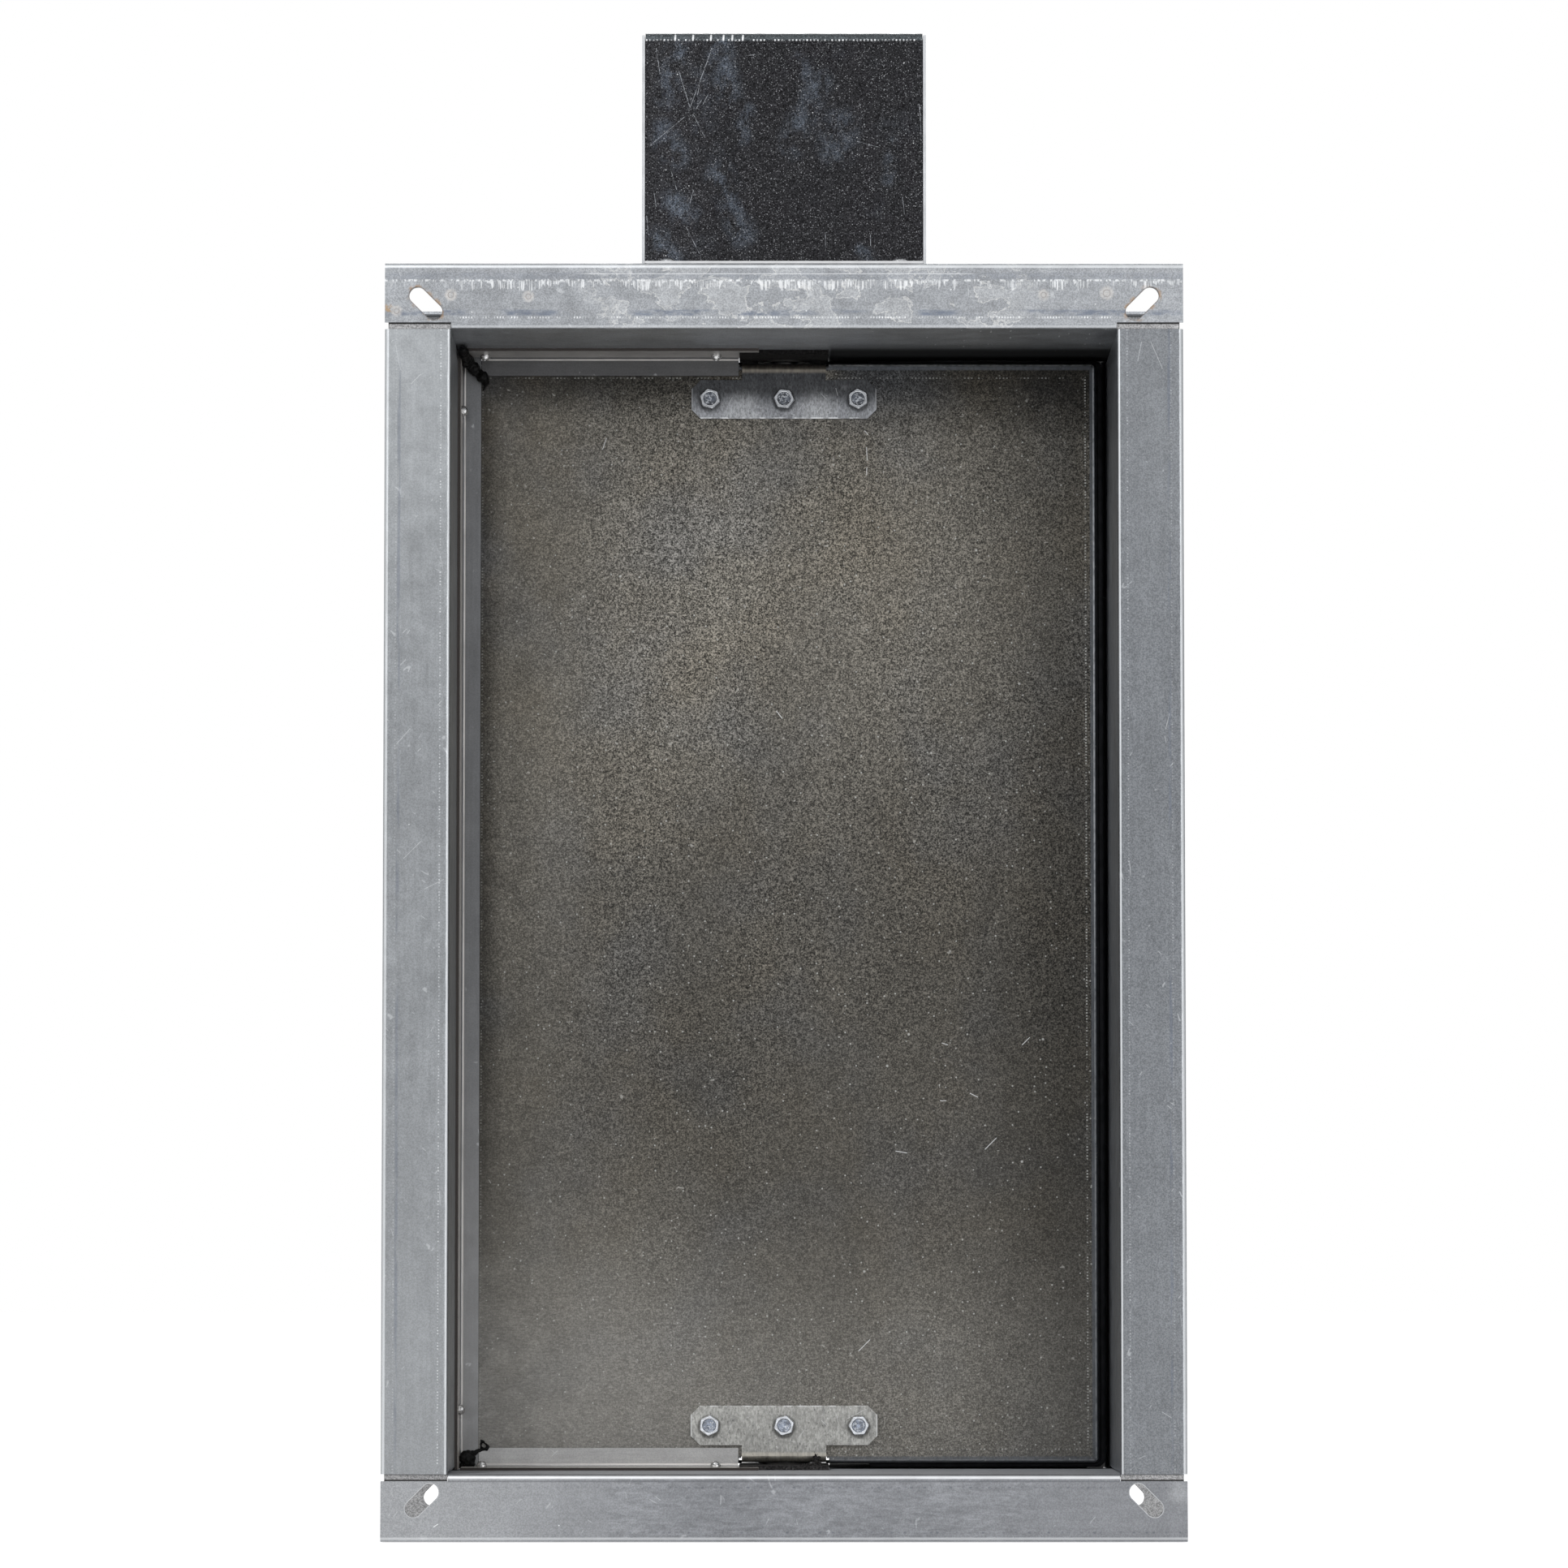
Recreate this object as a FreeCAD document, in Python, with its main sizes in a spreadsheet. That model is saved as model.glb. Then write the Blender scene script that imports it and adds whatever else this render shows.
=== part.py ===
import FreeCAD, Part
import math
import os
from types import SimpleNamespace

import Sketcher

# Rectangular fire damper of folded galvanised sheet, in millimetres.
# +X to the right and +Z up as one looks along the duct (+Y) at the closed blade. The origin lies under the
# middle of the case, level with the lower flanges' lips. The blade turns about an upright axle.

SIZES = {
    # Case
    "duct_width": 350,
    "duct_height": 600,
    "case_length": 200,
    "case_sheet": 1.5,
    "case_bend": 1,
    "flange_width": 35,
    "lip_depth": 12,
    "corner_gap": 3.5,
    "seam_lip": 13,
    "seam_setback": 5,
    "slot_length": 21,
    "slot_width": 9,
    "slot_inset": 21.5,
    "plate_sheet": 2,
    "plate_arm": 100,
    "plate_margin": 1.8,
    "plate_wall_gap": 3.5,
    "plate_lug_gap": 0.3,
    "plate_rounding": 1.3,
    # Axle line, measured from the middle of the case towards the back
    "axle_offset": 20,
    "axle_diameter": 16,
    "axle_embedment": 75,
    "axle_square": 12,
    "lower_axle_end": 18,
    "bush_play": 0.05,
    "bush_collar_diameter": 28,
    "bush_collar_height": 3.3,
    "bush_sleeve_diameter": 22,
    "bush_sleeve_length": 14,
    "bush_nut_across": 30,
    "bush_nut_height": 6,
    "ring_sheet": 1.2,
    "ring_diameter": 23,
    "ring_groove_depth": 0.8,
    "ring_gap": 0.4,
    # Pads round the axle
    "pad_width": 48,
    "pad_length": 72,
    "pad_height": 2.6,
    "pad_play": 0.4,
    # Stops
    "stop_sheet": 1.5,
    "stop_bend": 1,
    "stop_leg": 30,
    "stop_face": 11.3,
    "stop_gap": 0.3,
    "stop_leg_end": 13.5,
    "stop_face_end": 24.5,
    "stop_leg_inset": 3,
    "stop_end_gap": 0.5,
    "stop_joint_gap": 0.3,
    "stop_inner_rivet": 36.5,
    "stop_rivet_inset": 14,
    "side_rivet_inset": 32,
    # Blade
    "blade_thickness": 24,
    "blade_sheet": 1,
    "blade_side_gap": 6.5,
    "blade_top_gap": 4.4,
    "blade_bottom_gap": 3.6,
    "blade_edge": 5,
    "blade_edge_radius": 1.8,
    "blade_corner_cut": 2,
    "notch_margin": 1.6,
    "notch_depth": 2.2,
    "core_relief": 1,
    "axle_play": 0.2,
    "seal_side_reach": 4.2,
    "seal_end_reach": 2.6,
    "seal_pad_gap": 0.3,
    "seal_corner_radius": 5,
    "seal_rounding": 2.5,
    # Blade brackets
    "bracket_sheet": 2,
    "bracket_bend": 1.5,
    "bracket_width": 100,
    "bracket_stem_width": 45.2,
    "bracket_bar_drop": 9.2,
    "bracket_bar_height": 21,
    "bracket_chamfer": 5,
    "bracket_hole_spacing": 40,
    # Bolts, rivets and screws
    "bolt_diameter": 6,
    "bolt_hole": 6.6,
    "bolt_across": 10,
    "bolt_head": 4,
    "bolt_end": 2,
    "nut_height": 5,
    "rivet_diameter": 3.2,
    "rivet_hole": 3.3,
    "rivet_head_diameter": 5.8,
    "rivet_head": 3.2,
    "rivet_tail_diameter": 4.6,
    "rivet_tail": 2.6,
    "screw_diameter": 4,
    "screw_hole": 4.3,
    "screw_head_diameter": 9,
    "screw_head": 2.4,
    "screw_length": 9,
    # Console and actuator housing above the case
    "console_sheet": 2,
    "console_bend": 2,
    "console_height": 35,
    "console_half_width": 60,
    "console_foot": 15,
    "console_front_inset": 55,
    "console_back_inset": 22,
    "base_screw_side_inset": 8,
    "base_screw_inset": 10,
    "base_screw_across": 7,
    "base_screw_head": 3,
    "base_nut_height": 3.2,
    "axle_opening": 22,
    "housing_half_width": 75.5,
    "housing_sheet": 1.2,
    "housing_bend": 1,
    "housing_crown_bend": 2.5,
    "housing_front_inset": 34,
    "housing_back_inset": 24,
    "housing_height": 127,
    "housing_lip": 12,
    "housing_side_drop": 1.5,
    "cover_gap": 0.3,
    "cover_screw_spacing": 123,
    "cover_screw_inset": 6,
    # Actuator
    "actuator_width": 82,
    "actuator_height": 60,
    "actuator_front_gap": 22,
    "actuator_back_gap": 8,
    "actuator_corner": 6,
    "actuator_crown": 3,
    "hub_play": 0.3,
    "hub_diameter": 24,
    "hub_collar_diameter": 36,
    "hub_collar_height": 14,
    "hub_bottom_gap": 1,
    "hub_square_play": 0.1,
    "axle_top_reach": 6,
    "hub_flat": 1,
    "clamp_across": 8,
    "clamp_head": 3.5,
    "clamp_diameter": 5,
    "stay_sheet": 2,
    "stay_width": 30,
    "stay_height": 24,
    "stay_foot": 17,
    # Cable inlet and thermal trip
    "grommet_hole": 16,
    "grommet_bore": 7,
    "grommet_flange": 22,
    "grommet_flange_height": 2,
    "grommet_x": -45,
    "grommet_height": 22,
    "trip_x": 40,
    "trip_gap": 0.7,
    "trip_width": 30,
    "trip_length": 19,
    "trip_height": 24,
    "trip_hole": 10,
    "trip_probe_diameter": 8,
    "trip_probe_length": 22,
    # Sealant in the left inner corners
    "sealant_radius": 2.9,
    "sealant_length": 48,
    "sealant_run": 4.5,
    "sealant_blob_radius": 4.4,
    # Overrun of a cut beyond the sheet that it cuts
    "overrun": 1,
}

# Each plane's role, its two axes, and whether its own normal points against the third axis
PLANES = {"XY": ("XY_Plane", "xy", False), "XZ": ("XZ_Plane", "xz", True), "YZ": ("YZ_Plane", "yz", False)}
BOTH = (-1, 1)
MATCH = 1e-4


class Size:
    """A length with its value and the expression that gives it from the sheet of sizes."""

    def __init__(self, value, text):
        self.value = float(value)
        self.text = text

    def __add__(self, other):
        other = as_size(other)
        return Size(self.value + other.value, f"({self.text} + {other.text})")

    def __sub__(self, other):
        other = as_size(other)
        return Size(self.value - other.value, f"({self.text} - {other.text})")

    def __mul__(self, factor):
        return Size(self.value * factor, f"({self.text} * {factor:.9f})")

    def __truediv__(self, divisor):
        return self * (1 / divisor)

    def __neg__(self):
        return self * -1

    __radd__ = __add__
    __rmul__ = __mul__

    def __rsub__(self, other):
        return as_size(other) - self


def as_size(number):
    """A plain number as a Size, and a Size as it is."""
    return number if isinstance(number, Size) else Size(number, f"{number:.9f}")


doc = FreeCAD.newDocument("fire_damper")
sheet = doc.addObject("Spreadsheet::Sheet", "Sizes")
for row, (alias, number) in enumerate(SIZES.items(), start=1):
    sheet.set(f"A{row}", alias)
    sheet.set(f"B{row}", str(number))
    sheet.setAlias(f"B{row}", alias)
doc.recompute()
d = SimpleNamespace(**{alias: Size(number, f"Sizes.{alias}") for alias, number in SIZES.items()})

# Planes that several pieces share
half_width = d.duct_width / 2
half_height = d.duct_height / 2
half_length = d.case_length / 2
floor = d.flange_width
ceiling = d.flange_width + d.duct_height
middle = d.flange_width + half_height
axle_y = d.axle_offset
axle_radius = d.axle_diameter / 2
blade_front = axle_y - d.blade_thickness / 2
blade_back = axle_y + d.blade_thickness / 2
blade_half = half_width - d.blade_side_gap
blade_low = floor + d.blade_bottom_gap
blade_high = ceiling - d.blade_top_gap
bolt_drop = d.bracket_bar_drop + d.bracket_bar_height / 2
stop_back = blade_front - d.stop_gap
stop_front = stop_back - d.stop_leg
stop_line = stop_back - d.stop_leg / 2
stop_outer_rivet = half_width - d.stop_rivet_inset
roof = ceiling + d.case_sheet
console_top = roof + d.console_height
base_top = console_top + d.case_sheet
console_front = d.console_front_inset - half_length
console_back = half_length - d.console_back_inset
housing_front = d.housing_front_inset - half_length
housing_back = half_length - d.housing_back_inset
actuator_front = housing_front + d.actuator_front_gap
actuator_back = housing_back - d.actuator_back_gap
actuator_top = base_top + d.actuator_height
trip_y = axle_y * 2 - stop_front + d.trip_hole / 2 + d.trip_gap
grommet_z = base_top + d.grommet_height


# Small building steps

def bind(thing, name, size):
    """Ties one property to the sheet of sizes."""
    thing.setExpression(name, as_size(size).text)


def new_body(label):
    """An empty body that may hold separate solids."""
    body = doc.addObject("PartDesign::Body", label)
    body.Label = label
    body.AllowCompound = True
    return body


def new_sketch(body, plane, shift):
    """A sketch on one of the body's own planes, moved along the axis that stands on that plane."""
    role, _, against = PLANES[plane]
    sketch = body.newObject("Sketcher::SketchObject", f"{body.Name}_sketch")
    origin_plane = next(f for f in body.Origin.OriginFeatures if f.Role == role)
    sketch.AttachmentSupport = [(origin_plane, "")]
    sketch.MapMode = "FlatFace"
    bind(sketch, "AttachmentOffset.Base.z", -as_size(shift) if against else shift)
    return sketch


def name_constraint(sketch, index, name, size):
    """Names a constraint and ties it to the sheet."""
    sketch.renameConstraint(index, name)
    sketch.setExpression(f"Constraints.{name}", size.text)


def fix_point(sketch, geometry, vertex, u, v):
    """Holds one point of the sketch at its distances from the sketch's origin."""
    for kind, size in (("DistanceX", as_size(u)), ("DistanceY", as_size(v))):
        index = sketch.addConstraint(Sketcher.Constraint(kind, -1, 1, geometry, vertex, size.value))
        name_constraint(sketch, index, f"{kind}_{geometry}_{vertex}", size)


def draw_polygon(sketch, points):
    """A closed outline of straight lines."""
    points = [(as_size(u), as_size(v)) for u, v in points]
    first = sketch.GeometryCount
    count = len(points)
    for number, (u, v) in enumerate(points):
        next_u, next_v = points[(number + 1) % count]
        start = FreeCAD.Vector(u.value, v.value, 0)
        end = FreeCAD.Vector(next_u.value, next_v.value, 0)
        sketch.addGeometry(Part.LineSegment(start, end))
    for number, (u, v) in enumerate(points):
        following = first + (number + 1) % count
        sketch.addConstraint(Sketcher.Constraint("Coincident", first + number, 2, following, 1))
        fix_point(sketch, first + number, 1, u, v)


def draw_box(sketch, left, right, low, high):
    """A rectangle along the sketch's axes."""
    draw_polygon(sketch, [(left, low), (right, low), (right, high), (left, high)])


def draw_circle(sketch, u, v, diameter):
    """A circle held by its centre and its diameter."""
    u, v, diameter = as_size(u), as_size(v), as_size(diameter)
    centre = FreeCAD.Vector(u.value, v.value, 0)
    circle = Part.Circle(centre, FreeCAD.Vector(0, 0, 1), diameter.value / 2)
    geometry = sketch.addGeometry(circle)
    fix_point(sketch, geometry, 3, u, v)
    index = sketch.addConstraint(Sketcher.Constraint("Diameter", geometry, diameter.value))
    name_constraint(sketch, index, f"Diameter_{geometry}", diameter)


def draw_corner_slot(sketch, u, v, u_sign, v_sign):
    """A slot at 45 degrees that points to the outer corner of the flange."""
    run = (d.slot_length - d.slot_width) / 2 * math.sqrt(0.5)
    radius = d.slot_width / 2
    ends = [(u + u_sign * run, v + v_sign * run), (u - u_sign * run, v - v_sign * run)]
    heading = math.atan2(v_sign, u_sign)
    arcs = []
    for (end_u, end_v), facing in zip(ends, (heading, heading + math.pi)):
        centre = FreeCAD.Vector(end_u.value, end_v.value, 0)
        circle = Part.Circle(centre, FreeCAD.Vector(0, 0, 1), radius.value)
        arc = Part.ArcOfCircle(circle, facing - math.pi / 2, facing + math.pi / 2)
        arcs.append((sketch.addGeometry(arc), arc))
    for this, other in ((0, 1), (1, 0)):
        line = Part.LineSegment(arcs[this][1].EndPoint, arcs[other][1].StartPoint)
        geometry = sketch.addGeometry(line)
        sketch.addConstraint(Sketcher.Constraint("Tangent", arcs[this][0], 2, geometry, 1))
        sketch.addConstraint(Sketcher.Constraint("Tangent", geometry, 2, arcs[other][0], 1))
    for (geometry, _), (end_u, end_v) in zip(arcs, ends):
        fix_point(sketch, geometry, 3, end_u, end_v)
    sketch.addConstraint(Sketcher.Constraint("Equal", arcs[0][0], arcs[1][0]))
    index = sketch.addConstraint(Sketcher.Constraint("Radius", arcs[0][0], radius.value))
    name_constraint(sketch, index, f"Radius_{arcs[0][0]}", radius)


def pad(body, sketch, plane, length):
    """Thickens a sketch towards the positive end of the axis that stands on its plane."""
    feature = body.newObject("PartDesign::Pad", f"{body.Name}_pad")
    feature.Profile = sketch
    feature.AllowMultiFace = True
    feature.Reversed = PLANES[plane][2]
    bind(feature, "Length", length)
    return feature


def cut(body, sketch, plane, length):
    """Cuts a sketch out of the body, from the sketch towards the positive end of its axis."""
    feature = body.newObject("PartDesign::Pocket", f"{body.Name}_cut")
    feature.Profile = sketch
    feature.AllowMultiFace = True
    feature.Reversed = not PLANES[plane][2]
    bind(feature, "Length", length)
    return feature


def cut_circles(body, plane, start, length, circles):
    """Round holes of given centres and diameters, cut in one step."""
    sketch = new_sketch(body, plane, start)
    for u, v, diameter in circles:
        draw_circle(sketch, u, v, diameter)
    return cut(body, sketch, plane, length)


def cut_boxes(body, plane, start, length, boxes):
    """Rectangular cut-outs, each given by its left, right, low and high side."""
    sketch = new_sketch(body, plane, start)
    for left, right, low, high in boxes:
        draw_box(sketch, left, right, low, high)
    return cut(body, sketch, plane, length)


def turn(body, sketch):
    """Revolves a half profile about the sketch's upright axis."""
    feature = body.newObject("PartDesign::Revolution", f"{body.Name}_turned")
    feature.Profile = sketch
    feature.ReferenceAxis = (sketch, ["V_Axis"])
    feature.Angle = 360
    return feature


def edges_standing_at(shape, plane, corners):
    """Names of the straight edges that stand on the plane at the given corners."""
    first, second = PLANES[plane][1]
    names = []
    for number, edge in enumerate(shape.Edges, start=1):
        ends = [vertex.Point for vertex in edge.Vertexes]
        for u, v in corners:
            off = [max(abs(getattr(p, first) - u.value), abs(getattr(p, second) - v.value)) for p in ends]
            if len(ends) == 2 and max(off) < MATCH:
                names.append(f"Edge{number}")
    return names


def edges_at_level(shape, axis, level):
    """Names of the edges that lie wholly at one level of an axis."""
    names = []
    for number, edge in enumerate(shape.Edges, start=1):
        low = getattr(edge.BoundBox, f"{axis}Min")
        high = getattr(edge.BoundBox, f"{axis}Max")
        if abs(low - level.value) < MATCH and abs(high - level.value) < MATCH:
            names.append(f"Edge{number}")
    return names


def round_edges(body, feature, names, radius):
    """Rounds the named edges of the body's last feature."""
    fillet = body.newObject("PartDesign::Fillet", f"{body.Name}_rounding")
    fillet.Base = (feature, names)
    bind(fillet, "Radius", radius)
    doc.recompute()
    return fillet


def folded_outline(path, thickness, side):
    """Outline of a folded sheet, and its bends, from the corners of one face.

    The sheet lies left of the path where side is 1 and right of it where side is -1. Each bend is the inner
    and the outer corner of one fold.
    """
    path = [(as_size(u), as_size(v)) for u, v in path]
    headings = []
    for (u, v), (next_u, next_v) in zip(path, path[1:]):
        across, up = next_u.value - u.value, next_v.value - v.value
        reach = max(abs(across), abs(up))
        headings.append((round(across / reach), round(up / reach)))
    normals = [(-side * up, side * across) for across, up in headings]
    offset = []
    bends = []
    for number, (u, v) in enumerate(path):
        beside = [normals[n] for n in {max(number - 1, 0), min(number, len(normals) - 1)}]
        point = (u + thickness * sum(n[0] for n in beside), v + thickness * sum(n[1] for n in beside))
        offset.append(point)
        if 0 < number < len(path) - 1:
            before, after = headings[number - 1], headings[number]
            left_turn = before[0] * after[1] - before[1] * after[0]
            inside = point if left_turn * side > 0 else (u, v)
            outside = (u, v) if left_turn * side > 0 else point
            bends.append((inside, outside))
    return path + offset[::-1], bends


def fold(body, plane, path, thickness, side, radii, start, length):
    """A folded sheet: the outline thickened along the fold lines, then each bend rounded."""
    outline, bends = folded_outline(path, thickness, side)
    sketch = new_sketch(body, plane, start)
    draw_polygon(sketch, outline)
    feature = pad(body, sketch, plane, length)
    doc.recompute()
    radii = radii if isinstance(radii, list) else [radii] * len(bends)
    for radius in {r.text: r for r in radii}.values():
        here = [bend for bend, own in zip(bends, radii) if own.text == radius.text]
        for corners, rounding in (([b[0] for b in here], radius), ([b[1] for b in here], radius + thickness)):
            names = edges_standing_at(feature.Shape, plane, corners)
            feature = round_edges(body, feature, names, rounding)
    return feature


def regular_outline(u, v, reach, sides):
    """Corners of a regular polygon about a centre, with a flat side to the left and to the right."""
    corners = []
    for number in range(sides):
        angle = math.tau * (number + 0.5) / sides
        corners.append((u + reach * math.cos(angle), v + reach * math.sin(angle)))
    return corners


def draw_hexagon(sketch, u, v, across):
    """A regular hexagon given by its width across flats."""
    draw_polygon(sketch, regular_outline(as_size(u), as_size(v), across / math.sqrt(3), 6))


def turned(body):
    """Turns a finished body half way round the blade's axle."""
    turn_by = FreeCAD.Rotation(FreeCAD.Vector(0, 0, 1), 180)
    body.Placement = FreeCAD.Placement(FreeCAD.Vector(0, 2 * axle_y.value, 0), turn_by)
    bind(body, "Placement.Base.y", axle_y * 2)
    return body


def turned_places(places):
    """The places of like fasteners, half way round the blade's axle."""
    return [(-x, axle_y * 2 - y, z, (-hx, -hy, hz)) for x, y, z, (hx, hy, hz) in places]


def group(label, master, places):
    """One node of like fasteners: the master copied to each place with its head along a direction."""
    links = []
    for number, (x, y, z, heading) in enumerate(places):
        link = doc.addObject("App::Link", f"{label}_{number}")
        link.LinkedObject = master
        rotation = FreeCAD.Rotation(FreeCAD.Vector(0, 0, 1), FreeCAD.Vector(*heading))
        link.Placement = FreeCAD.Placement(FreeCAD.Vector(0, 0, 0), rotation)
        for axis, size in zip("xyz", (x, y, z)):
            bind(link, f"Placement.Base.{axis}", size)
        links.append(link)
    compound = doc.addObject("Part::Compound", label)
    compound.Label = label
    compound.Links = links
    return compound


# Case panels

def flange_corners():
    """Centres of the flange slots, with the signs of their corner."""
    u = half_width + d.flange_width - d.slot_inset
    v = half_height + d.flange_width - d.slot_inset
    return [(sx * u, middle + sz * v, sx, sz) for sx in BOTH for sz in BOTH]


def end_panel(label, side):
    """Top panel where side is 1, bottom panel where it is -1: a wall with two full-width flanges."""
    body = new_body(label)
    wall = middle + side * half_height
    edge = wall + side * d.flange_width
    reach = half_width + d.flange_width
    path = [
        (d.lip_depth - half_length, edge),
        (-half_length, edge),
        (-half_length, wall),
        (half_length, wall),
        (half_length, edge),
        (half_length - d.lip_depth, edge),
    ]
    fold(body, "YZ", path, d.case_sheet, side, d.case_bend, -reach, reach * 2)

    # The wall ends over the seam lips and leaves the flange corners flat
    start = wall - d.overrun if side > 0 else wall - d.corner_gap
    sketch = new_sketch(body, "XY", start)
    wing = half_length - d.seam_setback
    outside = half_length + d.overrun
    for sx in BOTH:
        inner = sx * half_width
        lip = sx * (half_width + d.seam_lip)
        outer = sx * (reach + d.overrun)
        draw_polygon(sketch, [
            (inner, -outside), (outer, -outside), (outer, outside), (inner, outside),
            (inner, wing), (lip, wing), (lip, -wing), (inner, -wing),
        ])
    cut(body, sketch, "XY", d.corner_gap + d.overrun)

    sketch = new_sketch(body, "XZ", -half_length - d.overrun)
    for u, v, sx, sz in flange_corners():
        if sz == side:
            draw_corner_slot(sketch, u, v, sx, sz)
    cut(body, sketch, "XZ", d.case_length + d.overrun * 2)

    holes = [(0, axle_y, d.bush_sleeve_diameter + d.bush_play * 2)]
    for reach_x in (d.stop_inner_rivet, stop_outer_rivet):
        holes.append((-reach_x, stop_line, d.rivet_hole))
        holes.append((reach_x, axle_y * 2 - stop_line, d.rivet_hole))
    if side > 0:
        holes.append((d.trip_x, trip_y, d.trip_hole))
    low = wall - d.overrun if side > 0 else wall - d.case_sheet - d.overrun
    cut_circles(body, "XY", low, d.case_sheet + d.overrun * 2, holes)
    return body


def side_panel(label, side):
    """Right panel where side is 1, left panel where it is -1, with seam lips under the end panels."""
    body = new_body(label)
    wall = side * half_width
    edge = side * (half_width + d.flange_width)
    path = [
        (edge, d.lip_depth - half_length),
        (edge, -half_length),
        (wall, -half_length),
        (wall, half_length),
        (edge, half_length),
        (edge, half_length - d.lip_depth),
    ]
    fold(body, "XY", path, d.case_sheet, -side, d.case_bend, floor, d.duct_height)

    # Each end of the wall is relieved beside the flanges, then carries an outward seam lip
    bend_end = half_length - d.case_sheet - d.case_bend
    wing = half_length - d.seam_setback
    relief = d.case_sheet + d.case_bend
    left, right = sorted((wall - d.overrun * side, wall + side * relief), key=lambda size: size.value)
    for start in (floor - d.overrun, ceiling - relief):
        boxes = [(left, right, -bend_end, -wing), (left, right, wing, bend_end)]
        cut_boxes(body, "XY", start, relief + d.overrun, boxes)
    left, right = sorted((wall, wall + side * d.seam_lip), key=lambda size: size.value)
    for start in (floor, ceiling - d.case_sheet):
        sketch = new_sketch(body, "XY", start)
        draw_box(sketch, left, right, -wing, wing)
        feature = pad(body, sketch, "XY", d.case_sheet)
    doc.recompute()
    skin = wall + side * d.case_sheet
    inner = [(skin, floor + d.case_sheet), (skin, ceiling - d.case_sheet)]
    outer = [(wall, floor), (wall, ceiling)]
    for corners, radius in ((inner, d.case_bend), (outer, d.case_bend + d.case_sheet)):
        names = edges_standing_at(feature.Shape, "XZ", corners)
        feature = round_edges(body, feature, names, radius)

    line = stop_line if side < 0 else axle_y * 2 - stop_line
    holes = [(line, z, d.rivet_hole) for z in side_rivet_heights()]
    start = wall - d.overrun if side > 0 else wall - d.case_sheet - d.overrun
    cut_circles(body, "YZ", start, d.case_sheet + d.overrun * 2, holes)
    return body


def corner_plates(label, side):
    """Four flat angles behind the corners of the rear flange where side is 1, of the front one where it is -1."""
    body = new_body(label)
    face = side * (half_length - d.case_sheet)
    sketch = new_sketch(body, "XZ", face if side < 0 else face - d.plate_sheet)
    inner_x = half_width + d.plate_wall_gap
    inner_z = half_height + d.plate_wall_gap
    lug_x = half_width + d.plate_lug_gap
    lug_z = half_height + d.plate_lug_gap
    outer_x = half_width + d.flange_width - d.plate_margin
    outer_z = half_height + d.flange_width - d.plate_margin
    outline = [
        (outer_x, outer_z),
        (outer_x - d.plate_arm, outer_z),
        (outer_x - d.plate_arm, inner_z),
        (lug_x, inner_z),
        (lug_x, lug_z),
        (inner_x, lug_z),
        (inner_x, outer_z - d.plate_arm),
        (outer_x, outer_z - d.plate_arm),
    ]
    for u, v, sx, sz in flange_corners():
        draw_polygon(sketch, [(sx * x, middle + sz * z) for x, z in outline])
        draw_corner_slot(sketch, u, v, sx, sz)
    feature = pad(body, sketch, "XZ", d.plate_sheet)
    doc.recompute()

    # The outer edges beside the flange are rounded to lie inside the lips' bends
    beside = edges_at_level(feature.Shape, "Y", face)
    outer = []
    for sign in BOTH:
        outer += edges_at_level(feature.Shape, "X", sign * outer_x)
        outer += edges_at_level(feature.Shape, "Z", middle + sign * outer_z)
    round_edges(body, feature, [name for name in outer if name in beside], d.plate_rounding)
    return body


# Stops

def side_rivet_heights():
    """Heights of the rivets in the upright stops."""
    return [floor + d.side_rivet_inset, ceiling - d.side_rivet_inset]


def end_stop(label, side):
    """Folded stop on the left half of the top wall (side 1) or bottom wall (side -1)."""
    body = new_body(label)
    wall = middle + side * half_height
    start = d.stop_leg_inset - half_width
    path = [(stop_front, wall), (stop_back, wall), (stop_back, wall - side * d.stop_face)]
    fold(body, "YZ", path, d.stop_sheet, -side, d.stop_bend, start, -d.stop_leg_end - start)

    # The facing leg ends short of the axle and butts against the upright stop
    bend_start = stop_back - d.stop_sheet - d.stop_bend
    low = wall - d.stop_face - d.overrun if side > 0 else wall - d.overrun
    span = d.stop_face + d.overrun * 2
    joint = d.stop_face + d.stop_joint_gap - half_width
    cut_boxes(body, "XY", low, span, [
        (-d.stop_face_end, d.overrun - d.stop_leg_end, bend_start, stop_back + d.overrun),
        (start - d.overrun, joint, bend_start, stop_back + d.overrun),
    ])
    spare = -(d.stop_inner_rivet + stop_outer_rivet) / 2
    holes = [(x, stop_line, d.rivet_hole) for x in (-d.stop_inner_rivet, -stop_outer_rivet, spare)]
    cut_circles(body, "XY", low, span, holes)
    return body


def upright_stop(label):
    """Folded stop over the height of the left wall."""
    body = new_body(label)
    path = [(-half_width, stop_front), (-half_width, stop_back), (d.stop_face - half_width, stop_back)]
    length = d.duct_height - d.stop_end_gap * 2
    fold(body, "XY", path, d.stop_sheet, -1, d.stop_bend, floor + d.stop_end_gap, length)
    holes = [(stop_line, z, d.rivet_hole) for z in side_rivet_heights() + [middle]]
    span = d.stop_sheet + d.overrun * 2
    cut_circles(body, "YZ", -half_width - d.overrun, span, holes)
    return body


def stop_rivet_places():
    """Rivets of the three stops on one side of the blade: seats of the heads, with head directions."""
    places = []
    for side in (1, -1):
        seat = middle + side * (half_height - d.stop_sheet)
        for reach in (d.stop_inner_rivet, stop_outer_rivet):
            places.append((-reach, stop_line, seat, (0, 0, -side)))
    for z in side_rivet_heights():
        places.append((d.stop_sheet - half_width, stop_line, z, (1, 0, 0)))
    return places


# Axle line: bushes, nuts, pads, axles

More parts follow.
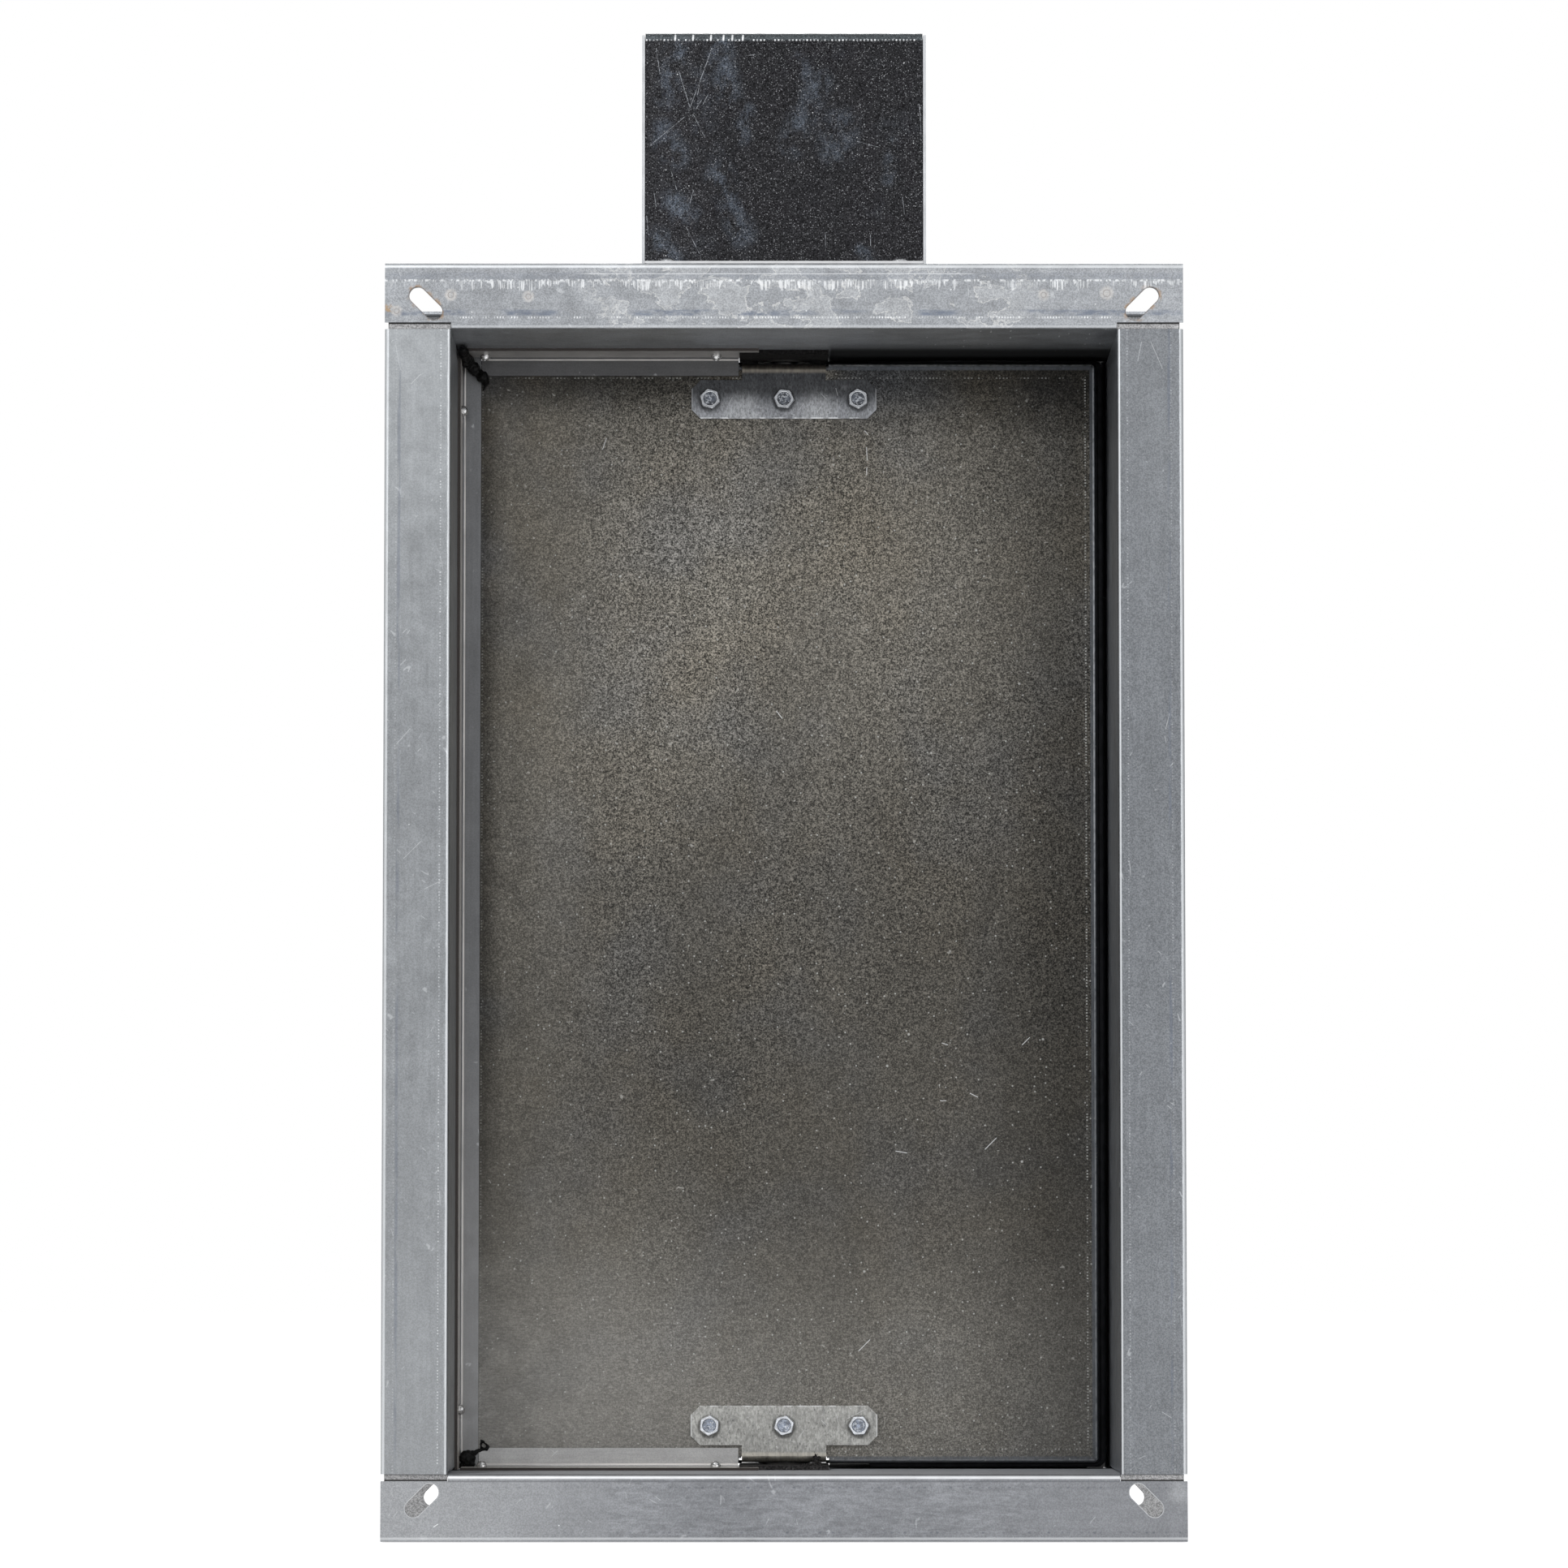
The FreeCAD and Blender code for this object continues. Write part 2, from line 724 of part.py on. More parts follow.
def bush(label, side):
    """Flanged bush from inside the duct through the top (side 1) or bottom (side -1) wall."""
    body = new_body(label)
    wall = middle + side * half_height
    bore = axle_radius + d.bush_play
    collar = d.bush_collar_diameter / 2
    sleeve = d.bush_sleeve_diameter / 2
    sketch = new_sketch(body, "XZ", axle_y)
    draw_polygon(sketch, [
        (bore, wall - side * d.bush_collar_height),
        (collar, wall - side * d.bush_collar_height),
        (collar, wall),
        (sleeve, wall),
        (sleeve, wall + side * d.bush_sleeve_length),
        (bore, wall + side * d.bush_sleeve_length),
    ])
    turn(body, sketch)
    return body


def axle_pad(label, side):
    """Soft pad round a bush, rebated over the ends of the two stops on its wall."""
    body = new_body(label)
    wall = middle + side * half_height
    front = axle_y - d.pad_length / 2
    back = axle_y + d.pad_length / 2
    edge = d.pad_width / 2
    sketch = new_sketch(body, "XY", wall - d.pad_height if side > 0 else wall)
    draw_box(sketch, -edge, edge, front, back)
    draw_circle(sketch, 0, axle_y, d.bush_collar_diameter + d.pad_play * 2)
    pad(body, sketch, "XY", d.pad_height)

    depth = d.stop_sheet + d.stop_gap / 2
    start = wall - depth if side > 0 else wall - d.overrun
    inner = d.stop_leg_end - d.stop_gap
    outer = edge + d.overrun
    reach = stop_back + d.stop_gap
    cut_boxes(body, "XY", start, depth + d.overrun, [
        (-outer, -inner, front - d.overrun, reach),
        (inner, outer, axle_y * 2 - reach, back + d.overrun),
    ])
    return body


def drive_axle(label):
    """Upper axle: round through the bush, square in the actuator's hub, cross drilled for the bolt."""
    body = new_body(label)
    start = blade_high - d.axle_embedment
    sketch = new_sketch(body, "XY", start)
    draw_circle(sketch, 0, axle_y, d.axle_diameter)
    reach = d.actuator_height + d.hub_play + d.hub_collar_height + d.axle_top_reach
    pad(body, sketch, "XY", base_top + reach - start)
    sketch = new_sketch(body, "XY", base_top)
    half = d.axle_square / 2
    draw_circle(sketch, 0, axle_y, d.axle_diameter + d.overrun * 2)
    draw_box(sketch, -half, half, axle_y - half, axle_y + half)
    cut(body, sketch, "XY", reach + d.overrun)
    hole = [(0, blade_high - bolt_drop, d.bolt_hole)]
    cut_circles(body, "XZ", axle_y - d.axle_diameter, d.axle_diameter * 2, hole)
    return body


def lower_axle(label):
    """Lower axle with its cross hole and the groove of the retaining ring."""
    body = new_body(label)
    groove_floor = axle_radius - d.ring_groove_depth
    ring_high = floor - d.bush_sleeve_length - d.ring_gap
    ring_low = ring_high - d.ring_sheet
    sketch = new_sketch(body, "XZ", axle_y)
    top = blade_low + d.axle_embedment
    draw_polygon(sketch, [
        (0, d.lower_axle_end),
        (axle_radius, d.lower_axle_end),
        (axle_radius, ring_low),
        (groove_floor, ring_low),
        (groove_floor, ring_high),
        (axle_radius, ring_high),
        (axle_radius, top),
        (0, top),
    ])
    turn(body, sketch)
    hole = [(0, blade_low + bolt_drop, d.bolt_hole)]
    cut_circles(body, "XZ", axle_y - d.axle_diameter, d.axle_diameter * 2, hole)
    return body


def retaining_ring(label):
    """Open ring snapped into the lower axle's groove, under the bush."""
    body = new_body(label)
    ring_high = floor - d.bush_sleeve_length - d.ring_gap
    sketch = new_sketch(body, "XY", ring_high - d.ring_sheet)
    draw_circle(sketch, 0, axle_y, d.ring_diameter)
    draw_circle(sketch, 0, axle_y, d.axle_diameter - (d.ring_groove_depth - d.bush_play) * 2)
    pad(body, sketch, "XY", d.ring_sheet)
    mouth = d.ring_groove_depth * 4
    start = ring_high - d.ring_sheet - d.overrun
    front = axle_y - d.ring_diameter
    cut_boxes(body, "XY", start, d.ring_sheet + d.overrun * 2, [(-mouth, mouth, front, axle_y)])
    return body


# Blade

def clipped_box(reach_x, low, high, clip):
    """Corners of a rectangle with clipped corners, as wide on both sides."""
    return [
        (-reach_x + clip, low), (reach_x - clip, low), (reach_x, low + clip), (reach_x, high - clip),
        (reach_x - clip, high), (-reach_x + clip, high), (-reach_x, high - clip), (-reach_x, low + clip),
    ]


def bolt_places():
    """Centres of the bracket bolts, as x and z."""
    heights = (blade_high - bolt_drop, blade_low + bolt_drop)
    return [(x, z) for z in heights for x in (-d.bracket_hole_spacing, as_size(0), d.bracket_hole_spacing)]


def cut_bolt_holes(body, start, length):
    """The six bolt holes through a layer of the blade."""
    cut_circles(body, "XZ", start, length, [(x, z, d.bolt_hole) for x, z in bolt_places()])


def cut_notches(body, start, length, margin, depth):
    """Notches in the upper and lower edge of the blade, in which the brackets' saddles lie."""
    edge = d.bracket_stem_width / 2 + margin
    cut_boxes(body, "XZ", start, length, [
        (-edge, edge, blade_high - depth, blade_high + d.overrun),
        (-edge, edge, blade_low - d.overrun, blade_low + depth),
    ])


def blade_pan(label):
    """Front sheet of the blade: a shallow pan with its edges folded back over the core."""
    body = new_body(label)
    sketch = new_sketch(body, "XZ", blade_front)
    draw_polygon(sketch, clipped_box(blade_half, blade_low, blade_high, d.blade_corner_cut))
    feature = pad(body, sketch, "XZ", d.blade_edge)
    doc.recompute()
    names = edges_at_level(feature.Shape, "Y", blade_front)
    round_edges(body, feature, names, d.blade_edge_radius)
    sketch = new_sketch(body, "XZ", blade_front + d.blade_sheet)
    low, high = blade_low + d.blade_sheet, blade_high - d.blade_sheet
    draw_polygon(sketch, clipped_box(blade_half - d.blade_sheet, low, high, d.blade_corner_cut))
    cut(body, sketch, "XZ", d.blade_edge)
    start, length = blade_front - d.overrun, d.blade_edge + d.overrun * 2
    cut_notches(body, start, length, d.notch_margin, d.notch_depth)
    cut_notches(body, start, length, d.stop_gap, d.bracket_sheet + d.bracket_bend)
    cut_bolt_holes(body, blade_front - d.overrun, d.blade_sheet + d.overrun * 2)
    return body


def blade_core(label):
    """Insulating board between the two sheets, bored for the axles and the bolts."""
    body = new_body(label)
    sketch = new_sketch(body, "XZ", blade_front + d.blade_sheet)
    low, high = blade_low + d.blade_sheet, blade_high - d.blade_sheet
    clip = d.blade_corner_cut + d.blade_sheet / 4
    draw_polygon(sketch, clipped_box(blade_half - d.blade_sheet, low, high, clip))
    pad(body, sketch, "XZ", d.blade_thickness - d.blade_sheet * 2)
    through = d.blade_thickness + d.overrun * 2
    cut_notches(body, blade_front - d.overrun, through, d.notch_margin, d.notch_depth + d.core_relief)
    cut_bolt_holes(body, blade_front - d.overrun, through)
    bore = [(0, axle_y, d.axle_diameter + d.axle_play * 2)]
    depth = d.axle_embedment + d.overrun
    for start in (blade_high - d.axle_embedment, blade_low - d.overrun):
        cut_circles(body, "XY", start, depth, bore)
    return body


def edge_seals(label):
    """Rubber seal round the blade's edge between the two sheets, in two halves beside the brackets.

    Near the axle the seal is lower, so that it passes the pads when the blade turns.
    """
    body = new_body(label)
    start = blade_front + d.blade_edge
    back = blade_back - d.blade_edge
    outer = blade_half + d.seal_side_reach
    inner = blade_half - d.blade_sheet
    high, low = blade_high + d.seal_end_reach, blade_low - d.seal_end_reach
    pad_high = ceiling - d.pad_height - d.seal_pad_gap
    pad_low = floor + d.pad_height + d.seal_pad_gap
    end = d.bracket_stem_width / 2 + d.notch_margin + d.stop_gap
    step = d.pad_length / 2 + d.blade_edge * 2
    sketch = new_sketch(body, "XZ", start)
    for side in BOTH:
        draw_polygon(sketch, [
            (side * end, pad_high),
            (side * step, pad_high),
            (side * step, high),
            (side * outer, high),
            (side * outer, low),
            (side * step, low),
            (side * step, pad_low),
            (side * end, pad_low),
            (side * end, blade_low + d.blade_sheet),
            (side * inner, blade_low + d.blade_sheet),
            (side * inner, blade_high - d.blade_sheet),
            (side * end, blade_high - d.blade_sheet),
        ])
    feature = pad(body, sketch, "XZ", back - start)
    doc.recompute()
    corners = [(side * outer, z) for side in BOTH for z in (high, low)]
    names = edges_standing_at(feature.Shape, "XZ", corners)
    feature = round_edges(body, feature, names, d.seal_corner_radius)

    # The rim that faces the case is rounded on both sides
    rim = []
    for name in edges_at_level(feature.Shape, "Y", start) + edges_at_level(feature.Shape, "Y", back):
        ends = [vertex.Point for vertex in feature.Shape.getElement(name).Vertexes]
        off = [
            min(abs(abs(p.x) - outer.value), abs(p.z - high.value), abs(p.z - low.value))
            for p in ends
        ]
        if max(off) < MATCH:
            rim.append(name)
    round_edges(body, feature, rim, d.seal_rounding)
    return body


def blade_bracket(label, side):
    """Saddle over the blade's upper (side 1) or lower (side -1) edge, with a T shaped plate on each face."""
    body = new_body(label)
    edge = middle + side * (half_height - (d.blade_top_gap if side > 0 else d.blade_bottom_gap))
    bar_near = edge - side * d.bracket_bar_drop
    bar_far = bar_near - side * d.bracket_bar_height
    front = blade_front - d.bracket_sheet
    back = blade_back + d.bracket_sheet
    half = d.bracket_width / 2
    path = [(front, bar_far), (front, edge), (back, edge), (back, bar_far)]
    fold(body, "YZ", path, d.bracket_sheet, -side, d.bracket_bend, -half, d.bracket_width)

    # The stem and the bar's chamfered corners
    stem = d.bracket_stem_width / 2
    sketch = new_sketch(body, "XZ", front - d.overrun)
    past = edge + side * d.overrun
    out = half + d.overrun
    low = bar_far - side * d.overrun
    near = bar_near - side * d.bracket_chamfer
    far = bar_far + side * d.bracket_chamfer
    for sx in BOTH:
        draw_polygon(sketch, [
            (sx * stem, past), (sx * out, past), (sx * out, near), (sx * half, near),
            (sx * (half - d.bracket_chamfer), bar_near), (sx * stem, bar_near),
        ])
        draw_polygon(sketch, [
            (sx * half, far), (sx * out, far), (sx * out, low), (sx * (half - d.bracket_chamfer), low),
            (sx * (half - d.bracket_chamfer), bar_far),
        ])
    span = d.blade_thickness + (d.bracket_sheet + d.overrun) * 2
    cut(body, sketch, "XZ", span)
    height = edge - side * bolt_drop
    holes = [(sx * d.bracket_hole_spacing, height, d.bolt_hole) for sx in (-1, 0, 1)]
    cut_circles(body, "XZ", front - d.overrun, span, holes)
    start = edge - d.bracket_sheet - d.overrun if side > 0 else edge - d.overrun
    bore = [(0, axle_y, d.axle_diameter + d.axle_play * 2)]
    cut_circles(body, "XY", start, d.bracket_sheet + d.overrun * 2, bore)
    return body


# Fasteners: each master has its axis on Z, its head above the seat at zero and its shank below

def pin_master(name, shank, length, head, head_height, rounding, tail=None, tail_length=None):
    """A rivet or screw with a rounded head, and a swollen tail where it has one."""
    body = new_body(name)
    sketch = new_sketch(body, "XZ", 0)
    points = [(0, head_height), (head / 2, head_height), (head / 2, 0), (shank / 2, 0), (shank / 2, -length)]
    if tail:
        points += [(tail / 2, -length), (tail / 2, -length - tail_length), (0, -length - tail_length)]
    else:
        points.append((0, -length))
    draw_polygon(sketch, points)
    feature = turn(body, sketch)
    doc.recompute()
    names = edges_at_level(feature.Shape, "Z", head_height)
    round_edges(body, feature, names, rounding)
    return body


def hexagon_master(name, across, height, inner=None, shank=None, length=None):
    """A hexagon head with its shank, or a hexagon nut, with the corners of its outer face turned off."""
    body = new_body(name)
    sketch = new_sketch(body, "XY", 0)
    draw_hexagon(sketch, 0, 0, across)
    if inner:
        draw_circle(sketch, 0, 0, inner)
    pad(body, sketch, "XY", height)
    if shank:
        sketch = new_sketch(body, "XY", -length)
        draw_circle(sketch, 0, 0, shank)
        pad(body, sketch, "XY", length)
    corner = across / math.sqrt(3) + d.overrun
    drop = (corner - across / 2) * math.tan(math.radians(30))
    sketch = new_sketch(body, "XZ", 0)
    draw_polygon(sketch, [(across / 2, height), (corner, height), (corner, height - drop)])
    groove = body.newObject("PartDesign::Groove", f"{name}_corners")
    groove.Profile = sketch
    groove.ReferenceAxis = (sketch, ["V_Axis"])
    groove.Angle = 360
    return body


# Console, housing and actuator above the case

def base_screw_places():
    """Screws that hold the housing's base on the console."""
    x = d.console_half_width - d.base_screw_side_inset
    y = (console_front + d.base_screw_inset, console_back - d.base_screw_inset)
    return [(sx * x, row, base_top, (0, 0, 1)) for sx in BOTH for row in y]


def cover_screw_places():
    """Screws through the cover's lips, with their seats on the lips."""
    x = d.cover_screw_spacing / 2
    front = housing_front - d.cover_screw_inset
    back = housing_back + d.cover_screw_inset
    seat = base_top + d.housing_sheet
    return [(sx * x, y, seat, (0, 0, 1)) for sx in BOTH for y in (front, back)]


def console(label):
    """Hat-shaped console, spot welded on the top wall between the two flanges."""
    body = new_body(label)
    leg = d.console_half_width - d.console_sheet
    foot = d.console_half_width + d.console_foot
    under = console_top - d.console_sheet
    path = [(-foot, roof), (-leg, roof), (-leg, under), (leg, under), (leg, roof), (foot, roof)]
    length = console_back - console_front
    fold(body, "XZ", path, d.console_sheet, 1, d.console_bend, console_front, length)
    holes = [(x, y, d.screw_hole) for x, y, _, _ in base_screw_places()]
    holes.append((0, axle_y, d.axle_opening))
    cut_circles(body, "XY", under - d.overrun, d.console_sheet + d.overrun * 2, holes)
    return body


def housing_base(label):
    """Base plate of the housing with its two side walls and a lip at the front and back."""
    body = new_body(label)
    side_top = console_top + d.housing_height - d.housing_side_drop
    half = d.housing_half_width
    path = [(-half, side_top), (-half, console_top), (half, console_top), (half, side_top)]
    start = housing_front - d.housing_lip
    length = housing_back - housing_front + d.housing_lip * 2
    fold(body, "XZ", path, d.case_sheet, 1, d.housing_bend, start, length)
    inner = half - d.case_sheet - d.housing_bend
    outer = half + d.overrun
    rows = [(start - d.overrun, housing_front), (housing_back, housing_back + d.housing_lip + d.overrun)]
    sides = [(-outer, -inner), (inner, outer)]
    boxes = [(left, right, low, high) for low, high in rows for left, right in sides]
    cut_boxes(body, "XY", console_top - d.overrun, d.housing_height + d.overrun * 2, boxes)
    holes = [(x, y, d.screw_hole) for x, y, _, _ in base_screw_places() + cover_screw_places()]
    holes.append((0, axle_y, d.axle_opening))
    holes.append((0, stay_screw_y(), d.screw_hole))
    cut_circles(body, "XY", console_top - d.overrun, d.case_sheet + d.overrun * 2, holes)
    return body


def housing_cover(label):
    """Front, top and back of the housing in one folded sheet, with a screwed lip at each foot."""
    body = new_body(label)
    front = housing_front + d.housing_sheet
    back = housing_back - d.housing_sheet
    under = console_top + d.housing_height - d.housing_sheet
    path = [
        (housing_front - d.housing_lip, base_top),
        (front, base_top),
        (front, under),
        (back, under),
        (back, base_top),
        (housing_back + d.housing_lip, base_top),
    ]
    radii = [d.housing_bend, d.housing_crown_bend, d.housing_crown_bend, d.housing_bend]
    half = d.housing_half_width - d.case_sheet - d.cover_gap
    fold(body, "YZ", path, d.housing_sheet, 1, radii, -half, half * 2)
    holes = [(x, y, d.screw_hole) for x, y, _, _ in cover_screw_places()]
    cut_circles(body, "XY", base_top - d.overrun, d.housing_sheet + d.overrun * 2, holes)
    start = back - d.overrun
    hole = [(d.grommet_x, grommet_z, d.grommet_hole)]
    cut_circles(body, "XZ", start, d.housing_sheet + d.overrun * 2, hole)
    return body


def cable_grommet(label):
    """Rubber grommet in the back of the cover, for the actuator's cable."""
    body = new_body(label)
    for start, length in (
        (housing_back - d.housing_sheet - d.grommet_flange_height, d.grommet_flange_height),
        (housing_back, d.grommet_flange_height),
    ):
        sketch = new_sketch(body, "XZ", start)
        draw_circle(sketch, d.grommet_x, grommet_z, d.grommet_flange)
        pad(body, sketch, "XZ", length)
    sketch = new_sketch(body, "XZ", housing_back - d.housing_sheet)
    draw_circle(sketch, d.grommet_x, grommet_z, d.grommet_hole - d.bush_play * 2)
    pad(body, sketch, "XZ", d.housing_sheet)
    start = housing_back - d.housing_sheet - d.grommet_flange_height - d.overrun
    length = d.housing_sheet + (d.grommet_flange_height + d.overrun) * 2
    cut_circles(body, "XZ", start, length, [(d.grommet_x, grommet_z, d.grommet_bore)])
    return body


def actuator_body(label):
    """Closed gear case of the actuator, bored for the hub."""
    body = new_body(label)
    half = d.actuator_width / 2
    sketch = new_sketch(body, "XY", base_top)
    draw_box(sketch, -half, half, actuator_front, actuator_back)
    feature = pad(body, sketch, "XY", d.actuator_height)
    doc.recompute()
    corners = [(sx * half, y) for sx in BOTH for y in (actuator_front, actuator_back)]
    names = edges_standing_at(feature.Shape, "XY", corners)
    feature = round_edges(body, feature, names, d.actuator_corner)
    names = edges_at_level(feature.Shape, "Z", actuator_top)
    round_edges(body, feature, names, d.actuator_crown)
    bore = [(0, axle_y, d.hub_diameter)]
    cut_circles(body, "XY", base_top - d.overrun, d.actuator_height + d.overrun * 2, bore)
    height = base_top + d.stay_height / 2
    cut_circles(body, "XZ", actuator_front - d.overrun, d.screw_length, [(0, height, d.screw_hole)])
    return body


def actuator_hub(label):
    """Hub that turns in the actuator and clamps the square of the drive axle."""
    body = new_body(label)
    start = base_top + d.hub_bottom_gap
    sketch = new_sketch(body, "XY", start)
    draw_circle(sketch, 0, axle_y, d.hub_diameter - d.hub_play * 2)
    collar = actuator_top + d.hub_play
    pad(body, sketch, "XY", collar - start)
    sketch = new_sketch(body, "XY", collar)
    draw_circle(sketch, 0, axle_y, d.hub_collar_diameter)
    pad(body, sketch, "XY", d.hub_collar_height)
    half = d.axle_square / 2 + d.hub_square_play
    length = collar + d.hub_collar_height - start + d.overrun * 2
    box = [(-half, half, axle_y - half, axle_y + half)]
    cut_boxes(body, "XY", start - d.overrun, length, box)
    edge = d.hub_collar_diameter / 2 + d.overrun
    flat = d.hub_collar_diameter / 2 - d.hub_flat
    boxes = [(left, right, axle_y - edge, axle_y + edge) for left, right in ((-edge, -flat), (flat, edge))]
    cut_boxes(body, "XY", collar - d.hub_play / 2, d.hub_collar_height + d.overrun, boxes)
    bore = [(axle_y, collar + d.hub_collar_height / 2, d.clamp_diameter + d.bush_play * 2)]
    cut_circles(body, "YZ", -edge, edge * 2, bore)
    return body


def clamp_screw_places():
    """Two screws that press on the axle's square from both sides."""
    height = actuator_top + d.hub_play + d.hub_collar_height / 2
    seat = d.hub_collar_diameter / 2 - d.hub_flat
    return [(sx * seat, axle_y, height, (sx, 0, 0)) for sx in BOTH]


def stay_screw_y():
    """Row of the screw through the stay's foot."""
    return actuator_front - d.stay_sheet - (d.stay_foot - d.stay_sheet) / 2


def actuator_stay(label):
    """Angle that keeps the actuator from turning with the axle."""
    body = new_body(label)
    half = d.stay_width / 2
    upright = actuator_front
    path = [(upright, base_top + d.stay_height), (upright, base_top), (upright - d.stay_foot, base_top)]
    fold(body, "YZ", path, d.stay_sheet, -1, d.case_bend, -half, d.stay_width)
    hole = [(0, stay_screw_y(), d.screw_hole)]
    cut_circles(body, "XY", base_top - d.overrun, d.stay_sheet + d.overrun * 2, hole)
    hole = [(0, base_top + d.stay_height / 2, d.screw_hole)]
    cut_circles(body, "XZ", upright - d.stay_sheet - d.overrun, d.stay_sheet + d.overrun * 2, hole)
    return body


def stay_screw_places():
    """One screw into the base, one into the actuator."""
    foot = (as_size(0), stay_screw_y(), base_top + d.stay_sheet, (0, 0, 1))
    face = (as_size(0), actuator_front - d.stay_sheet, base_top + d.stay_height / 2, (0, -1, 0))
    return [foot, face]


# Thermal trip

def trip_body(label):
    """Plastic body of the thermal trip on the top wall, inside the console."""
    body = new_body(label)
    half = d.trip_width / 2
    sketch = new_sketch(body, "XY", roof)
    low, high = trip_y - d.trip_length / 2, trip_y + d.trip_length / 2
    draw_box(sketch, d.trip_x - half, d.trip_x + half, low, high)
    feature = pad(body, sketch, "XY", d.trip_height)
    doc.recompute()
    names = edges_at_level(feature.Shape, "Z", roof + d.trip_height)
    round_edges(body, feature, names, d.housing_crown_bend)
    return body


def trip_probe(label):
    """Probe of the thermal trip, from the body through the wall into the duct."""
    body = new_body(label)
    start = roof - d.trip_probe_length
    sketch = new_sketch(body, "XY", start)
    draw_circle(sketch, d.trip_x, trip_y, d.trip_probe_diameter)
    feature = pad(body, sketch, "XY", d.trip_probe_length)
    doc.recompute()
    names = edges_at_level(feature.Shape, "Z", start)
    round_edges(body, feature, names, d.trip_probe_diameter / 4)
    return body


# Sealant

def mastic(label, sections):
    """A lump of mastic lofted through octagons, each given by its centre and its radius."""
    body = new_body(label)
    sketches = []
    for x, y, z, radius in sections:
        sketch = new_sketch(body, "XZ", y)
        draw_polygon(sketch, regular_outline(x, z, radius, 8))
        sketches.append(sketch)
    lump = body.newObject("PartDesign::AdditiveLoft", f"{label}_loft")
    lump.Profile = sketches[0]
    lump.Sections = sketches[1:]
    return body


def upper_sealant(label):
    """Bead of mastic along the upper left corner and over the joint of the stops."""
    inset = d.stop_sheet + d.bush_play + d.sealant_radius
    start_x, start_z = inset - half_width, ceiling - inset
    end_y = stop_back - d.stop_sheet - d.stop_gap
    return mastic(label, [
        (start_x, end_y - d.sealant_length, start_z, d.sealant_radius),
        (start_x + d.sealant_run, end_y, start_z - d.sealant_run, d.sealant_radius),
    ])


def lower_sealant(label):
    """Blob of mastic on the joint of the stops in the lower left corner."""
    inset = d.stop_sheet + d.bush_play + d.sealant_blob_radius
    x, z = inset - half_width, floor + inset
    end_y = stop_back - d.stop_sheet - d.stop_gap
    return mastic(label, [
        (x, end_y - d.sealant_blob_radius * 2, z, d.sealant_blob_radius / 2),
        (x, end_y - d.sealant_blob_radius, z, d.sealant_blob_radius),
        (x, end_y, z, d.sealant_blob_radius / 2),
    ])


# Masters of the fasteners, which the groups copy

play = d.bush_play * 2
stop_rivet = pin_master(
    "stop_rivet", d.rivet_diameter, d.stop_sheet + d.case_sheet, d.rivet_head_diameter, d.rivet_head,
    d.rivet_head_diameter * 0.35, d.rivet_tail_diameter, d.rivet_tail,
)
dome_screw = pin_master(
    "dome_screw", d.screw_diameter, d.screw_length, d.screw_head_diameter, d.screw_head, d.screw_head * 0.9
)
bolt_length = d.blade_thickness + d.bracket_sheet * 2 + d.nut_height + d.bolt_end
bracket_bolt = hexagon_master(
    "bracket_bolt", d.bolt_across, d.bolt_head, shank=d.bolt_diameter, length=bolt_length
)
bracket_nut = hexagon_master("bracket_nut", d.bolt_across, d.nut_height, inner=d.bolt_diameter + play)
bush_nut = hexagon_master(
    "bush_nut", d.bush_nut_across, d.bush_nut_height, inner=d.bush_sleeve_diameter + play
)
base_screw = hexagon_master(
    "base_screw", d.base_screw_across, d.base_screw_head, shank=d.screw_diameter, length=d.screw_length
)
base_nut = hexagon_master("base_nut", d.base_screw_across, d.base_nut_height, inner=d.screw_diameter + play)
clamp_length = (d.hub_collar_diameter - d.axle_square) / 2 - d.hub_flat
clamp_screw = hexagon_master(
    "clamp_screw", d.clamp_across, d.clamp_head, shank=d.clamp_diameter, length=clamp_length
)

bush_nut_seats = [
    (as_size(0), axle_y, roof, (0, 0, 1)),
    (as_size(0), axle_y, floor - d.case_sheet, (0, 0, -1)),
]
under_console = console_top - d.console_sheet
base_nut_seats = [(x, y, under_console, (0, 0, -1)) for x, y, _, _ in base_screw_places()]
bolt_seats = [(x, blade_front - d.bracket_sheet, z, (0, -1, 0)) for x, z in bolt_places()]
nut_seats = [(x, blade_back + d.bracket_sheet, z, (0, 1, 0)) for x, z in bolt_places()]

# The damper

